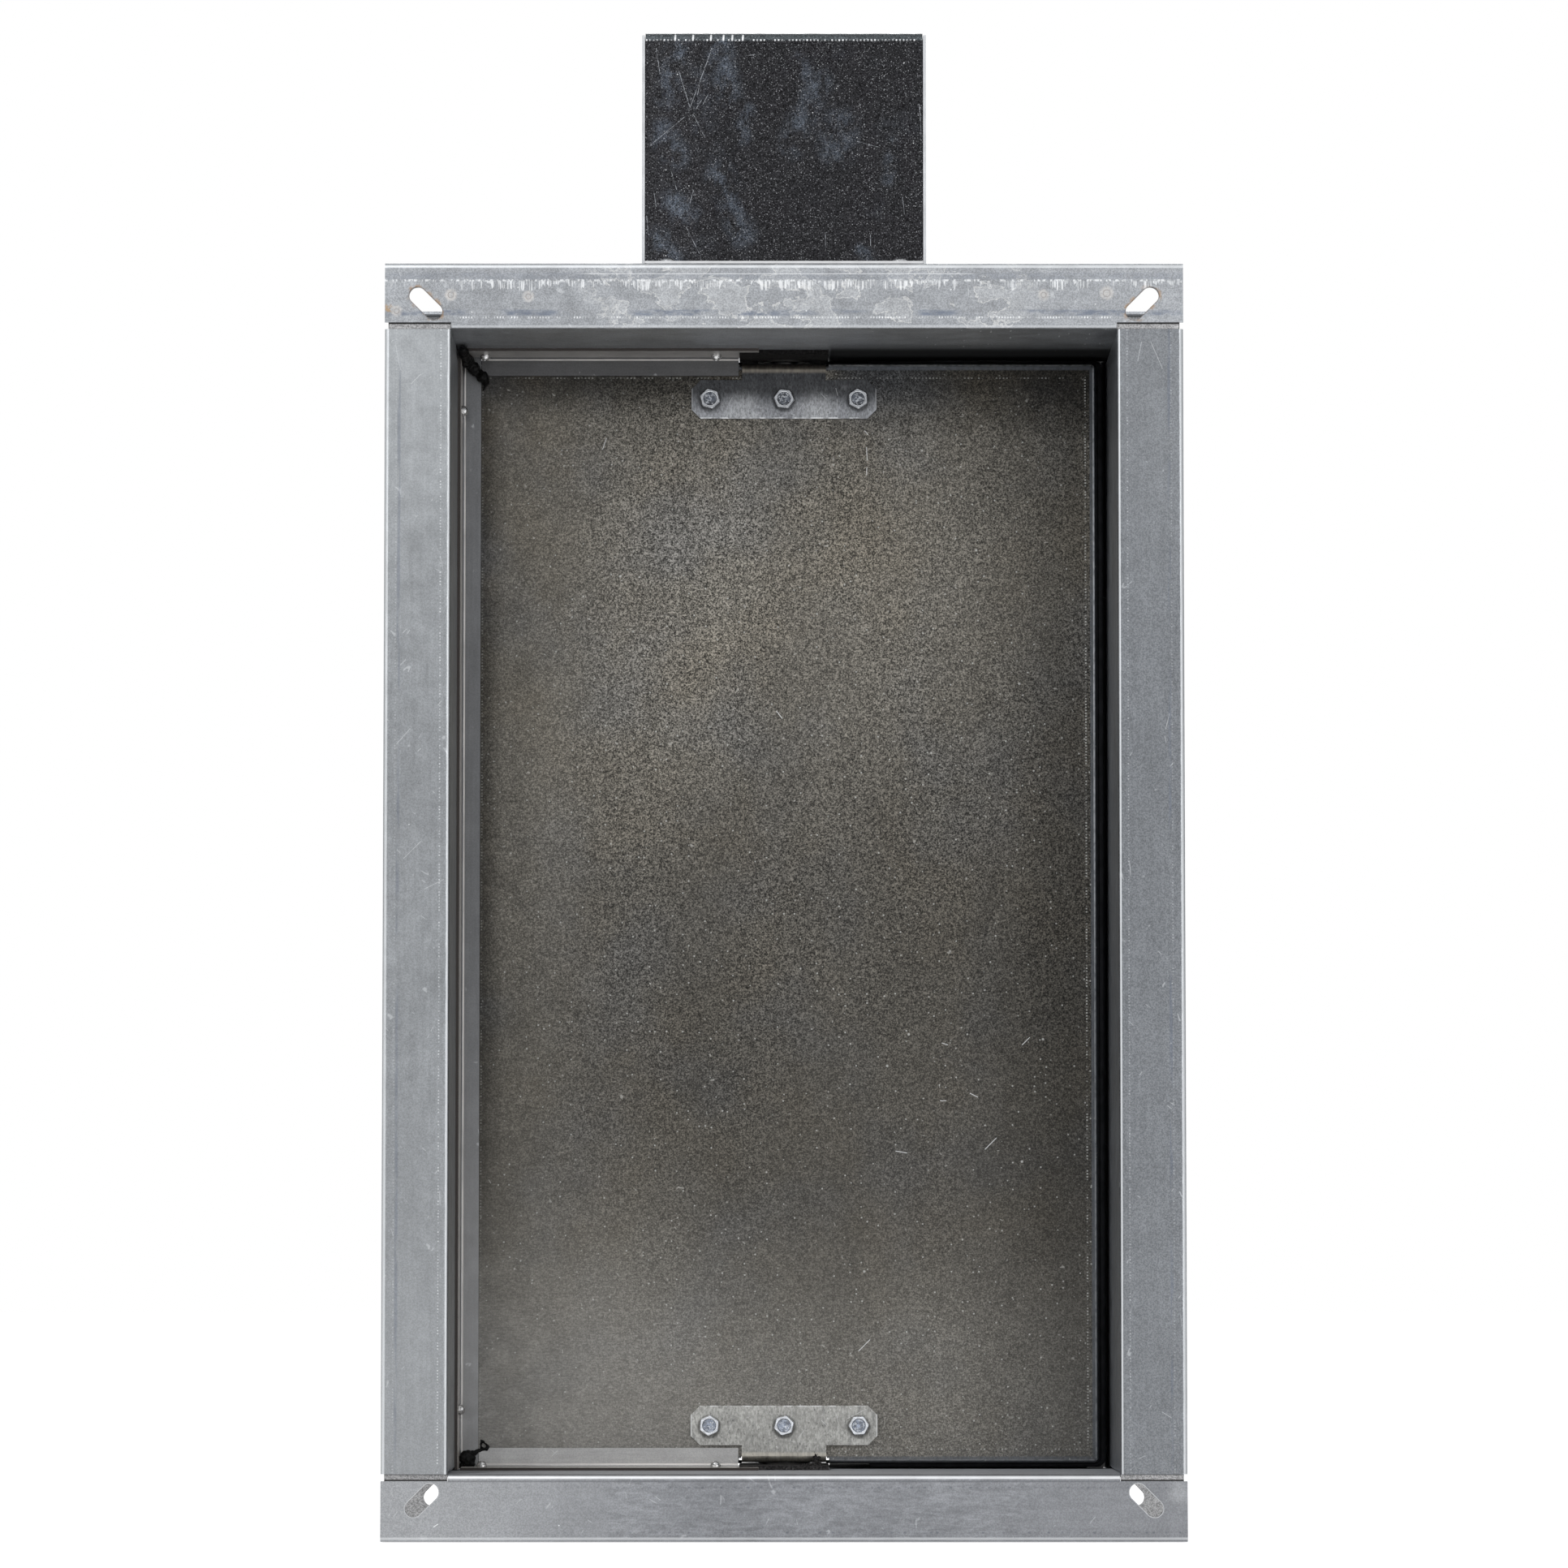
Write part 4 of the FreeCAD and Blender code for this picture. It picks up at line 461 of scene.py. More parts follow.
def spun(outline, sides):
    """A solid turned about Z from rings of (height, radius) or (height, radius, width across six flats)."""
    made = bmesh.new()
    rows = []
    for height, radius, *flats in outline:
        row = []
        for step in range(sides):
            angle = math.tau * step / sides
            reach = radius
            if flats:
                off = (angle + math.pi / 6) % (math.pi / 3) - math.pi / 6
                reach = min(radius, flats[0] / 2 / math.cos(off))
            row.append(made.verts.new((reach * math.cos(angle), reach * math.sin(angle), height)))
        rows.append(row)
    join_rows(made, rows)
    return made


def join_rows(made, rows):
    """Faces between neighbouring closed rows of points, and a cap at each end."""
    for low, high in zip(rows, rows[1:]):
        for step in range(len(low)):
            after = (step + 1) % len(low)
            made.faces.new((low[step], low[after], high[after], high[step]))
    made.faces.new(list(reversed(rows[0])))
    made.faces.new(rows[-1])


def facing(direction, x, y, z, turn=0.0):
    """A place whose own Z points in the given direction."""
    aim = Vector(direction).to_track_quat("Z", "Y").to_matrix().to_4x4()
    return Matrix.Translation((x, y, z)) @ aim @ Matrix.Rotation(math.radians(turn), 4, "Z")


def piece(name, parts, material, body, crease=40):
    """One object of (solid, place) pairs in millimetres, in the place of the CAD node of that name."""
    whole = bmesh.new()
    for part, place in parts:
        spare = bpy.data.meshes.new("spare")
        part.to_mesh(spare)
        spare.transform(place)
        whole.from_mesh(spare)
        bpy.data.meshes.remove(spare)
    bmesh.ops.scale(whole, vec=(mm, mm, mm), verts=whole.verts)
    bmesh.ops.recalc_face_normals(whole, faces=whole.faces)
    for face in whole.faces:
        face.smooth = True
    for edge in whole.edges:
        edge.smooth = len(edge.link_faces) != 2 or edge.calc_face_angle() < math.radians(crease)
    mesh = bpy.data.meshes.new(name)
    whole.to_mesh(mesh)
    whole.free()
    mesh.materials.append(material)
    made = bpy.data.objects.new(name, mesh)
    bpy.context.scene.collection.objects.link(made)
    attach(made, body)
    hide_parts(name)
    return made


alloy = Paint("rivet_alloy", 0.85, 0.3)
alloy.bump(alloy.noise(0.6, 2), 0.03)
alloy.colour = alloy.shade(srgb(206, 206, 206), alloy.vary(0.55, 1.2, 1.5, 3))
rivet_paint = alloy.finish(alloy.vary(0.18, 0.34, 1, 2))
head = spun(
    [(0, rivet_head - 0.25), (0.2, rivet_head), (1.1, rivet_head), (1.25, rivet_head - 0.2),
     (1.9, 2.5), (2.6, 2.0), (3.0, 1.5), (rivet_rise, 1.15),
     (3.1, 1.0), (2.5, 0.9), (2.4, 0.75), (2.6, 0.5), (2.65, 0.2)],
    32,
)
tail = spun([(0, 1.9), (0.4, rivet_tail), (1.4, rivet_tail), (2.1, 1.9), (2.5, 1.2), (tail_rise, 0.7)], 24)
grip = 3.0
for name, side, line in (("front_stop_rivets", -1, -7.3), ("rear_stop_rivets", 1, 47.3)):
    places = []
    for x in (36.5, 161):
        places.append((Vector((side * x, line, ceiling_z - stop_sheet)), Vector((0, 0, -1))))
        places.append((Vector((side * x, line, floor_z + stop_sheet)), Vector((0, 0, 1))))
    for z in (67, 603):
        places.append((Vector((side * (wall_x - stop_sheet), line, z)), Vector((-side, 0, 0))))
    parts = []
    for place, aim in places:
        parts.append((head, facing(aim, *place)))
        parts.append((tail, facing(-aim, *(place - aim * grip))))
    piece(name, parts, rivet_paint, "case")

# Pads round the axle. Black intumescent foam on the top and bottom wall with a torn, lumpy skin. The lower
# one is lighter and dusted with grey specks, and crumbs rubbed off by the blade's bracket and a torn flake
# lie on it.

pad_half_x = 24
pad_low_y = -16
pad_high_y = 56
pad_height = 2.6
foam = Paint("foam_pad", 0.0, 0.85, 0.1)
foam.bump(foam.noise(1.2, 4), 0.5)
patchy = foam.ramp(foam.noise(8, 2), 0.42, 0.6)
dust = foam.all_of(foam.specks(1.6, 0.5, 0.4), patchy, foam.ramp(foam.z, 50, 45))
lumps = foam.ramp(foam.noise(1.2, 3), 0.35, 0.7, 0.5, 1.8)
# The lower pad's tone is 3.2 times lighter than the upper one's.
foam.colour = foam.shade(srgb(24, 23, 23), lumps, foam.ramp(foam.z, 50, 45, 1.0, 3.2))
foam.lay(srgb(150, 150, 150), dust, 0.5)
foam_paint = foam.finish()


def lumpy_pad(seed):
    """A flat pad on Z = 0 whose top and sides swell and sink, kept within its outline."""
    chance = random.Random(seed)
    made = bmesh.new()
    bmesh.ops.create_grid(made, x_segments=40, y_segments=60, size=1)
    for vert in made.verts:
        u, v = vert.co.x, vert.co.y
        edge = max(0.0, 1 - (1 - abs(u)) * 12) ** 2 + max(0.0, 1 - (1 - abs(v)) * 18) ** 2
        wave = math.sin(u * 9 + v * 4 + seed) * math.sin(v * 13 - u * 5)
        sink = 0.12 + 0.1 * wave + chance.uniform(0, 0.15) + min(1.0, edge) * 0.15
        pull = 1 - chance.uniform(0, 0.006)
        vert.co = (
            u * pad_half_x * pull,
            (pad_low_y + pad_high_y) / 2 + v * (pad_high_y - pad_low_y) / 2 * pull,
            pad_height - sink,
        )
    rim = bmesh.ops.extrude_edge_only(made, edges=[edge for edge in made.edges if edge.is_boundary])
    low = [item for item in rim["geom"] if isinstance(item, bmesh.types.BMVert)]
    for vert in low:
        vert.co.z = 0
    bmesh.ops.contextual_create(made, geom=[edge for edge in made.edges if edge.is_boundary])
    return made


crumb = bmesh.new()
bmesh.ops.create_icosphere(crumb, subdivisions=2, radius=1)
scatter = random.Random(9)
for vert in crumb.verts:
    vert.co *= scatter.uniform(0.7, 1.1)
crumbs = []
for _ in range(22):
    x, y = scatter.uniform(9, 21), scatter.uniform(-14, 1)
    size = scatter.uniform(0.35, 0.9)
    turn = Matrix.Rotation(scatter.uniform(0, 6), 4, "X") @ Matrix.Rotation(scatter.uniform(0, 6), 4, "Z")
    place = Matrix.Translation((x, y, floor_z + pad_height - 0.4 + size * 0.6))
    crumbs.append((crumb, place @ turn @ Matrix.Scale(size, 4)))
for x, y, z, size, tilt in (
    (16.6, 3.0, 37.6, 1.5, 10), (17.8, 3.4, 38.8, 1.2, 60), (16.4, 3.6, 39.9, 1.0, 100),
    (17.4, 3.4, 41.0, 1.1, 40), (18.9, 3.4, 41.4, 0.7, 20), (15.9, 3.8, 41.6, 0.6, 140),
    (19.4, 3.0, 38.0, 0.9, 80), (17.0, 3.8, 42.4, 0.6, 70), (20.4, 3.6, 39.4, 0.5, 30),
):
    place = Matrix.Translation((x, y, z)) @ Matrix.Rotation(math.radians(tilt), 4, "Y")
    crumbs.append((crumb, place @ Matrix.Diagonal((size * 1.7, size * 0.8, size, 1))))
hung = Matrix.Translation((0, 0, ceiling_z)) @ Matrix.Scale(-1, 4, (0, 0, 1))
laid = Matrix.Translation((0, 0, floor_z))
piece("upper_axle_pad", [(lumpy_pad(1), hung)], foam_paint, "case", 60)
piece("lower_axle_pad", [(lumpy_pad(2), laid), *crumbs], foam_paint, "case", 60)

# Sealant. Black mastic pressed by hand into the two left inner corners: a knotted bead over the joint of
# the upper stops, and a blob with a torn thread in the lower corner.

tar = Paint("mastic", 0.0, 0.5, 0.12)
tar.bump(tar.noise(1.4, 3), 0.4)
tar.colour = tar.shade(srgb(9, 9, 9), tar.vary(0.6, 1.8, 2, 3))
mastic_paint = tar.finish()


def kneaded(name, balls):
    """A lump that is grown over a run of balls, each (x, y, z, radius), then dented."""
    chance = random.Random(len(balls))
    made = bmesh.new()
    for start, end in zip(balls, balls[1:]):
        gap = (Vector(end[:3]) - Vector(start[:3])).length
        steps = max(1, round(gap / (min(start[3], end[3]) * 0.5)))
        for step in range(steps):
            share = step / steps
            x, y, z, radius = (a + (b - a) * share for a, b in zip(start, end))
            wobble = [chance.uniform(-0.12, 0.12) * radius for _ in range(3)]
            bmesh.ops.create_icosphere(
                made, subdivisions=2, radius=radius * chance.uniform(0.85, 1.1),
                matrix=Matrix.Translation(Vector((x, y, z)) + Vector(wobble)),
            )
    rough = piece(name, [(made, Matrix.Identity(4))], mastic_paint, "case", 180)
    grow = rough.modifiers.new("grow", "REMESH")
    grow.mode = "VOXEL"
    grow.voxel_size = 0.4 * mm
    ease = rough.modifiers.new("ease", "SMOOTH")
    ease.iterations = 3
    evaluated = rough.evaluated_get(bpy.context.evaluated_depsgraph_get())
    lump = bpy.data.meshes.new_from_object(evaluated)
    for vert in lump.vertices:
        dent = noise.noise(vert.co / (2.2 * mm)) * 0.55 + noise.noise(vert.co / (0.9 * mm)) * 0.2
        vert.co += vert.normal * min(dent, 0.3) * mm
    rough.modifiers.clear()
    rough.data = lump
    lump.materials.clear()
    lump.materials.append(mastic_paint)
    for face in lump.polygons:
        face.use_smooth = True


kneaded("upper_corner_sealant", [
    (-171.6, -40, 631.8, 2.0), (-171.4, -30, 631.4, 2.7), (-171.2, -18, 631.0, 2.2),
    (-171.0, -8, 630.4, 3.2), (-171.0, -1, 630.4, 3.6), (-169.0, 1.0, 628.6, 2.3),
    (-167.4, 1.6, 626.8, 3.6), (-165.2, 2.4, 624.9, 2.2), (-162.8, 2.4, 622.4, 3.7),
    (-160.6, 4.4, 620.0, 1.5), (-161.6, 5.4, 617.6, 0.8), (-162.6, 6.2, 615.4, 0.45),
])
kneaded("lower_corner_sealant", [
    (-173.4, 1.8, 36.8, 1.3), (-170.2, 1.2, 37.6, 1.6), (-166.4, 1.6, 37.8, 1.5),
    (-169.4, 0.8, 39.4, 2.8), (-171.0, 0.8, 41.6, 3.0), (-169.0, 1.2, 42.8, 2.8),
    (-167.4, 1.6, 40.6, 2.8), (-166.2, 4.0, 43.6, 1.5), (-163.8, 5.0, 44.6, 1.2),
    (-161.6, 5.5, 45.6, 1.2), (-159.2, 6.0, 45.8, 1.1), (-158.0, 6.3, 46.8, 0.8),
    (-160.4, 6.6, 49.2, 0.6), (-162.0, 6.7, 50.6, 0.5), (-162.3, 6.7, 47.8, 0.6),
    (-161.7, 6.5, 45.8, 0.8),
])

# Bushes and their nuts. Oil blackened steel sleeves in which the axles turn, each held by a flat zinc plated
# nut outside the wall. The nuts and screws of the housing and the actuator are plated alike.

oiled = Paint("oiled_bush", 0.1, 0.55, 0.2)
oiled.bump(oiled.noise(0.7, 2), 0.02)
oiled.colour = oiled.shade(srgb(30, 29, 28), oiled.vary(0.7, 1.3, 1.5, 3))
wear(oiled.finish(oiled.vary(0.35, 0.55, 2, 3)), "upper_bush", "lower_bush")
bright = Paint("zinc_fastener", 0.9, 0.22)
bright.bump(bright.noise(0.6, 2), 0.02)
bright.colour = bright.shade(srgb(172, 174, 177), bright.vary(0.6, 1.15, 1.2, 3))
fastener_paint = bright.finish(bright.vary(0.14, 0.32, 1.2, 2))
wear(fastener_paint, "bush_nuts", "base_nuts", "base_screws", "hub_clamp_screws", "stay_screws")

# Blade sheets. Two pans of galvanised sheet over the insulating core, front and rear. Rolling has left
# them dull, brownish grey and densely mottled, with forming dots just inside the rim and many scratches.

blade_middle_z = 334.6

for node in ("front_blade_sheet", "rear_blade_sheet"):
    skin = Paint(node.replace("sheet", "zinc"), 0.8, 0.48)
    clouds = skin.vary(0.94, 1.06, 90, 3)
    columns = skin.vary(0.93, 1.07, 50, 2, (1, 1, 0.15), 5)
    coarse = skin.ramp(skin.noise(1.2, 1, rough=0.7), 0.33, 0.67, 0.7, 1.34)
    close = skin.ramp(skin.noise(0.66, 1, seed=3), 0.33, 0.67, 0.5, 1.55)
    weave = skin.vary(0.88, 1.13, 0.8, 2, (0.3, 1, 1), 21)
    busy = skin.ramp(skin.noise(60, 3, (1, 1, 0.4), 31), 0.35, 0.65, 0.78, 1.0)
    calm = skin.all_of(skin.ramp(skin.z, 230, 60), skin.ramp(skin.x, 0, -120), 0.5)
    busy = skin.all_of(busy, skin.ramp(skin.x, -165, -60, 0.6, 1.1), skin.ramp(skin.z, 80, 330, 0.6, 1.2))
    busy = skin.all_of(busy, skin.rest(calm))
    grain = skin.math("SUBTRACT", skin.all_of(coarse, close), 1.05)
    grain = skin.math("ADD", skin.math("MULTIPLY", grain, busy), 1.05)
    zone = skin.rest(skin.all_of(skin.disc((30, 260), 60, 200), 0.46))
    shadow = skin.any_of(
        skin.all_of(skin.ramp(skin.z, 596, 622), skin.ramp(skin.x, -8, -26)),
        skin.all_of(skin.ramp(skin.x, -149, -164), skin.ramp(skin.z, 60, 300, 0.3, 0.9)),
        skin.all_of(skin.ramp(skin.z, 586, 622), skin.ramp(skin.x, 20, 30), 0.98),
        skin.all_of(skin.ramp(skin.z, 60, 47), skin.ramp(skin.x, -8, -26), 0.3),
    )
    dim = skin.rest(skin.all_of(shadow, 0.72))
    # Painted shade: the sheets are darker towards the right.
    side = skin.ramp(skin.x, 60, 160, 1.0, 0.55)
    skin.colour = skin.shade(srgb(97, 94, 88), clouds, columns, grain, weave, zone, dim, side)
    warm = skin.ramp(skin.noise(60, 4, seed=13), 0.45, 0.7, 0, 0.08)
    skin.lay(skin.shade(srgb(112, 96, 66), grain, weave, zone, side), warm)
    cool = skin.ramp(skin.noise(70, 4, seed=17), 0.45, 0.7, 0, 0.13)
    skin.lay(skin.shade(srgb(82, 92, 108), grain, weave, zone, side), cool)
    # Painted light: lighter towards the bottom, most on the left.
    painted_light_foot = skin.all_of(skin.ramp(skin.z, 40, 200, 1.0, 0.0), skin.ramp(skin.x, -150, 60, 1.0, 0.3), 0.6)
    skin.lay(skin.shade(srgb(140, 139, 136), grain, weave), painted_light_foot)
    reach = skin.off(skin.x)
    rim = skin.any_of(
        skin.ramp(reach, 164.8, 165.6), skin.ramp(skin.z, 626.6, 627.6), skin.ramp(skin.z, 42.2, 41.2)
    )
    smooth = skin.shade(srgb(84, 88, 94), skin.vary(0.8, 1.2, 2, 2, (1, 1, 0.2)))
    skin.lay(smooth, rim, 0.7)
    lit = skin.any_of(
        skin.all_of(skin.near(skin.z, 629.7, 0.35, 0.3), skin.near(skin.x, 0, 166, 1)),
        skin.all_of(skin.near(reach, 167.3, 0.3, 0.3), skin.ramp(skin.z, 250, 420, 0.5, 1.0)),
        skin.all_of(skin.near(skin.z, 39.8, 0.3, 0.3), 0.3),
    )
    skin.lay(srgb(206, 208, 210), lit, skin.ramp(skin.noise(3, 3), 0.3, 0.6, 0.5, 1.0))
    width = skin.near(skin.x, 0, 162, 1)
    height = skin.near(skin.z, blade_middle_z, 289, 1)
    rows = skin.any_of(
        skin.all_of(skin.dots(skin.x, skin.z, 622.7, 1.9, 0.8), width, 0.45),
        skin.all_of(skin.dots(skin.x, skin.z, 45.6, 1.9, 0.8), width, 0.7),
        skin.all_of(skin.dots(skin.z, skin.x, 162.8, 1.6, 0.8), height),
        skin.all_of(skin.dots(skin.z, skin.x, -162.8, 1.6, 0.8), height, 0.3),
    )
    grit = skin.any_of(skin.specks(3.0, 0.6, 0.3), skin.specks(12, 0.9, 0.15, 4))
    skin.lay(srgb(186, 187, 184), skin.any_of(rows, skin.all_of(grit, dim, 0.75)), 0.75)
    hair = skin.any_of(skin.hairlines(16, 4, 70, 0.26), skin.hairlines(14, 4, 15, 0.26, 3.0))
    skin.lay(srgb(190, 189, 184), hair, 0.35)
    for start, end in (
        ((43.6, 594), (45.4, 592)), ((44.6, 585), (45, 578)), ((44.8, 574), (44.6, 570)),
        ((85, 263), (88, 262)), ((128, 262), (132, 266)), ((84, 232), (87, 232)), ((100, 236), (104, 234)),
        ((-96, 590), (-98, 584)), ((60, 205), (66, 204)), ((-4, 442), (-1, 438)), ((114, 212), (108, 206)),
        ((40, 98), (46, 104)),
    ):
        skin.lay(white_mark_and_highlight, skin.stroke(start, end, 0.3), 0.5)
    skin.bump(skin.noise(1.4, 3), 0.02)
    wear(skin.finish(skin.vary(0.42, 0.56, 12, 4)), node)

# Blade core. A board of pale calcium silicate, cut to size and laid between the two sheets. It is hidden but
# for its edge beside the axles.

board = Paint("silicate_board", 0.0, 0.9)
board.bump(board.noise(1.5, 4), 0.2)
board.colour = board.shade(srgb(200, 196, 184), board.vary(0.85, 1.1, 3, 4))
wear(board.finish(), "blade_core")

# Edge seal. A black extruded rubber strip round the blade's edge in two halves, glued to the core between
# the sheets. Four ribs run along it, and it lies lower beside the axles to clear the pads.

rubber = Paint("rubber_seal", 0.0, 0.45, 0.15)
rubber.bump(rubber.noise(0.8, 3), 0.03)
rubber.colour = rubber.shade(srgb(28, 28, 30), rubber.vary(0.7, 1.5, 6, 4))
rubber_paint = rubber.finish()
seal_front = 13.0
seal_depth = 14.0


def seal_half():
    """The right half of the seal: a ribbed section swept round the blade's rim from axle to axle."""
    corner = []
    for step in range(9):
        angle = math.pi / 2 * (1 - step / 8)
        inner = (165.5 + 2 * math.cos(angle), 293.2 + 2 * math.sin(angle))
        corner.append((inner, (167.7 + 5 * math.cos(angle), 293.6 + 5 * math.sin(angle))))
    stations = []
    for side, clear in ((1, 297.5), (-1, 296.7)):
        relief = [
            ((22.65, 295.2), (22.65, clear)), ((45.6, 295.2), (45.6, clear)), ((46.4, 295.2), (46.4, 298.6))
        ]
        quarter = [((u, side * v), (a, side * b)) for (u, v), (a, b) in relief + corner]
        stations += quarter if side > 0 else reversed(quarter)
    section = [
        (0.0, 0.0), (0.35, 0.05), (0.42, 0.45), (0.5, 0.05), (0.72, 0.5), (0.9, 1.3),
        (1.0, 2.2), (0.94, 3.2), (0.72, 4.0), (0.94, 4.8), (1.0, 5.6), (0.94, 6.3), (0.72, 7.0), (0.94, 7.7),
        (1.0, 8.4), (0.94, 9.2), (0.72, 10.0), (0.94, 10.8), (1.0, 11.8),
        (0.9, 12.7), (0.72, 13.5), (0.5, 13.95), (0.0, seal_depth),
    ]
    made = bmesh.new()
    rows = []
    for (u, v), (a, b) in stations:
        row = []
        for share, depth in section:
            x, z = u + (a - u) * share, v + (b - v) * share
            row.append(made.verts.new((x, seal_front + depth, blade_middle_z + z)))
        rows.append(row)
    join_rows(made, rows)
    return made


halves = [(seal_half(), Matrix.Identity(4)), (seal_half(), Matrix.Scale(-1, 4, (1, 0, 0)))]
piece("blade_edge_seal", halves, rubber_paint, "blade", 50)

# Blade brackets. Zinc plated saddles over the blade's edge, bolted through it, that hold the two axles.
# The plating is speckled, pitted and scratched. The upper one is painted darker towards its top as painted
# shade and lighter beside its middle bolt as painted light; both carry painted highlights along the fold
# and edges, and a painted shadow round each bolt.

for node, tone, contrast in (
    ("upper_blade_bracket", srgb(124, 126, 130), 0.25), ("lower_blade_bracket", srgb(152, 152, 149), 0.2)
):
    upper = node.startswith("upper")
    plate = Paint(node.replace("blade", "zinc"), 0.85, 0.36)
    speckle = plate.ramp(plate.noise(0.9, 2, (1, 1, 0.5), rough=0.7), 0.34, 0.66, 1 - contrast, 1 + contrast)
    grain = plate.vary(0.88, 1.12, 1.4, 2, (1, 1, 0.5), 6)
    clouds = plate.vary(0.88, 1.1, 10, 3)
    plate.colour = plate.shade(tone, speckle, grain, clouds)
    if upper:
        # Painted shade darker towards the top, and painted light in two patches beside the middle bolt.
        plate.colour = plate.shade(plate.colour, plate.ramp(plate.z, 603, 616, 1.15, 0.22))
        painted_light = plate.any_of(*(plate.disc((x, 603), 3, 12) for x in (-22, 18)))
        plate.lay(plate.shade(srgb(176, 178, 180), speckle), painted_light, 0.42)
        rim_line, crown_line, crown_highlight_tone = 600.7, 627.8, srgb(128, 122, 113)
        middle, bolt_line, end_highlight, own_scratch = 611, 610.2, 0.2, ((18, -7), (20, -4))
    else:
        rim_line, crown_line, crown_highlight_tone = 68.8, 41.5, srgb(182, 178, 168)
        middle, bolt_line, end_highlight, own_scratch = 58, 57.6, 0.6, ((34, 4), (44, 9))
    worn = plate.ramp(plate.noise(2.4, 4, (1, 1, 0.4), 8), 0.58, 0.7)
    plate.lay(plate.shade(srgb(96, 97, 99), speckle), worn, 0.4)
    # Painted highlight along the fold over the blade's edge.
    crown_highlight = plate.near(plate.z, crown_line, 1.4, 1.8)
    crown_highlight_tone = plate.shade(crown_highlight_tone, plate.vary(0.75, 1.1, 1.6, 2, (1, 1, 0.1)))
    plate.lay(crown_highlight_tone, crown_highlight, 0.85)
    # Painted highlights along the edge away from the fold and along the ends, laid with the nicks and
    # scratches in one pale tone.
    rim_highlights = plate.any_of(
        plate.all_of(plate.near(plate.z, rim_line, 0.2, 0.4), plate.ramp(plate.noise(5, 3), 0.45, 0.6)),
        plate.all_of(plate.near(plate.off(plate.x), 49.7, 0.2, 0.3), end_highlight),
    )
    pits = plate.all_of(plate.specks(1.5, 0.5, 0.5, 3, (1, 1, 0.7)), 0.6)
    plate.colour = plate.shade(plate.colour, plate.ramp(pits, 0, 1, 1.0, 0.35))
    nicks_and_highlights = plate.any_of(plate.specks(4, 0.35, 0.25), rim_highlights)
    for start, end in (
        ((28, 6), (29, 2)), ((29, 0), (28.6, -3)), ((8, -6), (11, -2)), own_scratch,
        ((20, 3), (23, 0)), ((-30, -3), (-28, 1)), ((4, -8), (6, -8.6)),
    ):
        ends = ((start[0], middle + start[1]), (end[0], middle + end[1]))
        nicks_and_highlights = plate.any_of(nicks_and_highlights, plate.all_of(plate.stroke(*ends, 0.22), 0.45))
    plate.lay(white_mark_and_highlight, nicks_and_highlights, 0.6)
    # Painted shadow round each bolt head.
    column = plate.off(plate.x)
    column = plate.math("MINIMUM", column, plate.off(column, 40))
    bolt_shadow = plate.disc((0, bolt_line), 5.4, 1.6, column)
    plate.colour = plate.shade(plate.colour, plate.rest(plate.all_of(bolt_shadow, 0.6)))
    plate.bump(plate.noise(0.9, 3), 0.02)
    wear(plate.finish(plate.vary(0.28, 0.45, 4, 3)), node)

# Bracket bolts and nuts. Bright zinc plated M6 hexagon bolts, forged with a chamfered rim and a sunk top,
# through both legs of the brackets and the blade, with nuts at the back.

bolt_across = 10
bolt_corner = bolt_across / math.sqrt(3)
bolt_head = 4
bolt_radius = 3
bracket_face = 6
bracket_back = 34
nut_height = 5
bolt_tip = 41
bolt_heights = (610.9, 58.3)
bolt_columns = (-40, 0, 40)


def thread(radius, pitch, length):
    """A screw thread along Z with a chamfered end."""
    made = bmesh.new()
    rows = []
    sides = 36
    steps = int(length / pitch * 8)
    for level in range(steps + 1):
        height = length * level / steps
        row = []
        for step in range(sides):
            phase = (height / pitch - step / sides) % 1.0
            reach = min(radius - abs(phase - 0.5) * 1.2 * pitch, radius - 0.7 + length - height)
            angle = math.tau * step / sides
            row.append(made.verts.new((reach * math.cos(angle), reach * math.sin(angle), height)))
        rows.append(row)
    join_rows(made, rows)
    return made


head = spun(
    [(0, 4.8), (0.35, 4.8), (0.4, bolt_corner, bolt_across), (3.4, bolt_corner, bolt_across),
     (3.85, 5.35, 9.55), (bolt_head, 5.1, 9.2), (bolt_head, 3.85), (3.85, 3.65), (3.3, 3.35), (3.3, 1.5),
     (3.35, 0.4)],
    72,
)
shank = spun([(0, bolt_radius), (bracket_back - bracket_face + nut_height - 0.5, bolt_radius)], 32)
tip = thread(bolt_radius, 1.0, bolt_tip - bracket_back - nut_height + 0.5)
nut = spun(
    [(0, 3.02), (0, 4.7), (0.5, bolt_corner, bolt_across), (nut_height - 0.5, bolt_corner, bolt_across),
     (nut_height, 4.7), (nut_height, 3.5), (nut_height - 0.5, 3.02), (0.1, 3.02)],
    72,
)
turns = random.Random(4)
bolts = []
nuts = []
for z in bolt_heights:
    for x in bolt_columns:
        turn = turns.uniform(0, 60)
        bolts.append((head, facing((0, -1, 0), x, bracket_face, z, turn)))
        bolts.append((shank, facing((0, 1, 0), x, bracket_face, z)))
        bolts.append((tip, facing((0, 1, 0), x, bracket_back + nut_height - 0.5, z, turn)))
        nuts.append((nut, facing((0, 1, 0), x, bracket_back, z, turns.uniform(0, 60))))
plated = Paint("bolt_zinc", 0.9, 0.2)
plated.bump(plated.noise(0.6, 2), 0.02)
column = plated.off(plated.x)
u = plated.math("MINIMUM", column, plated.off(column, bolt_columns[2]))
v = plated.math("MINIMUM", *(plated.off(plated.z, z) for z in bolt_heights))
from_axis = plated.length(u, v)
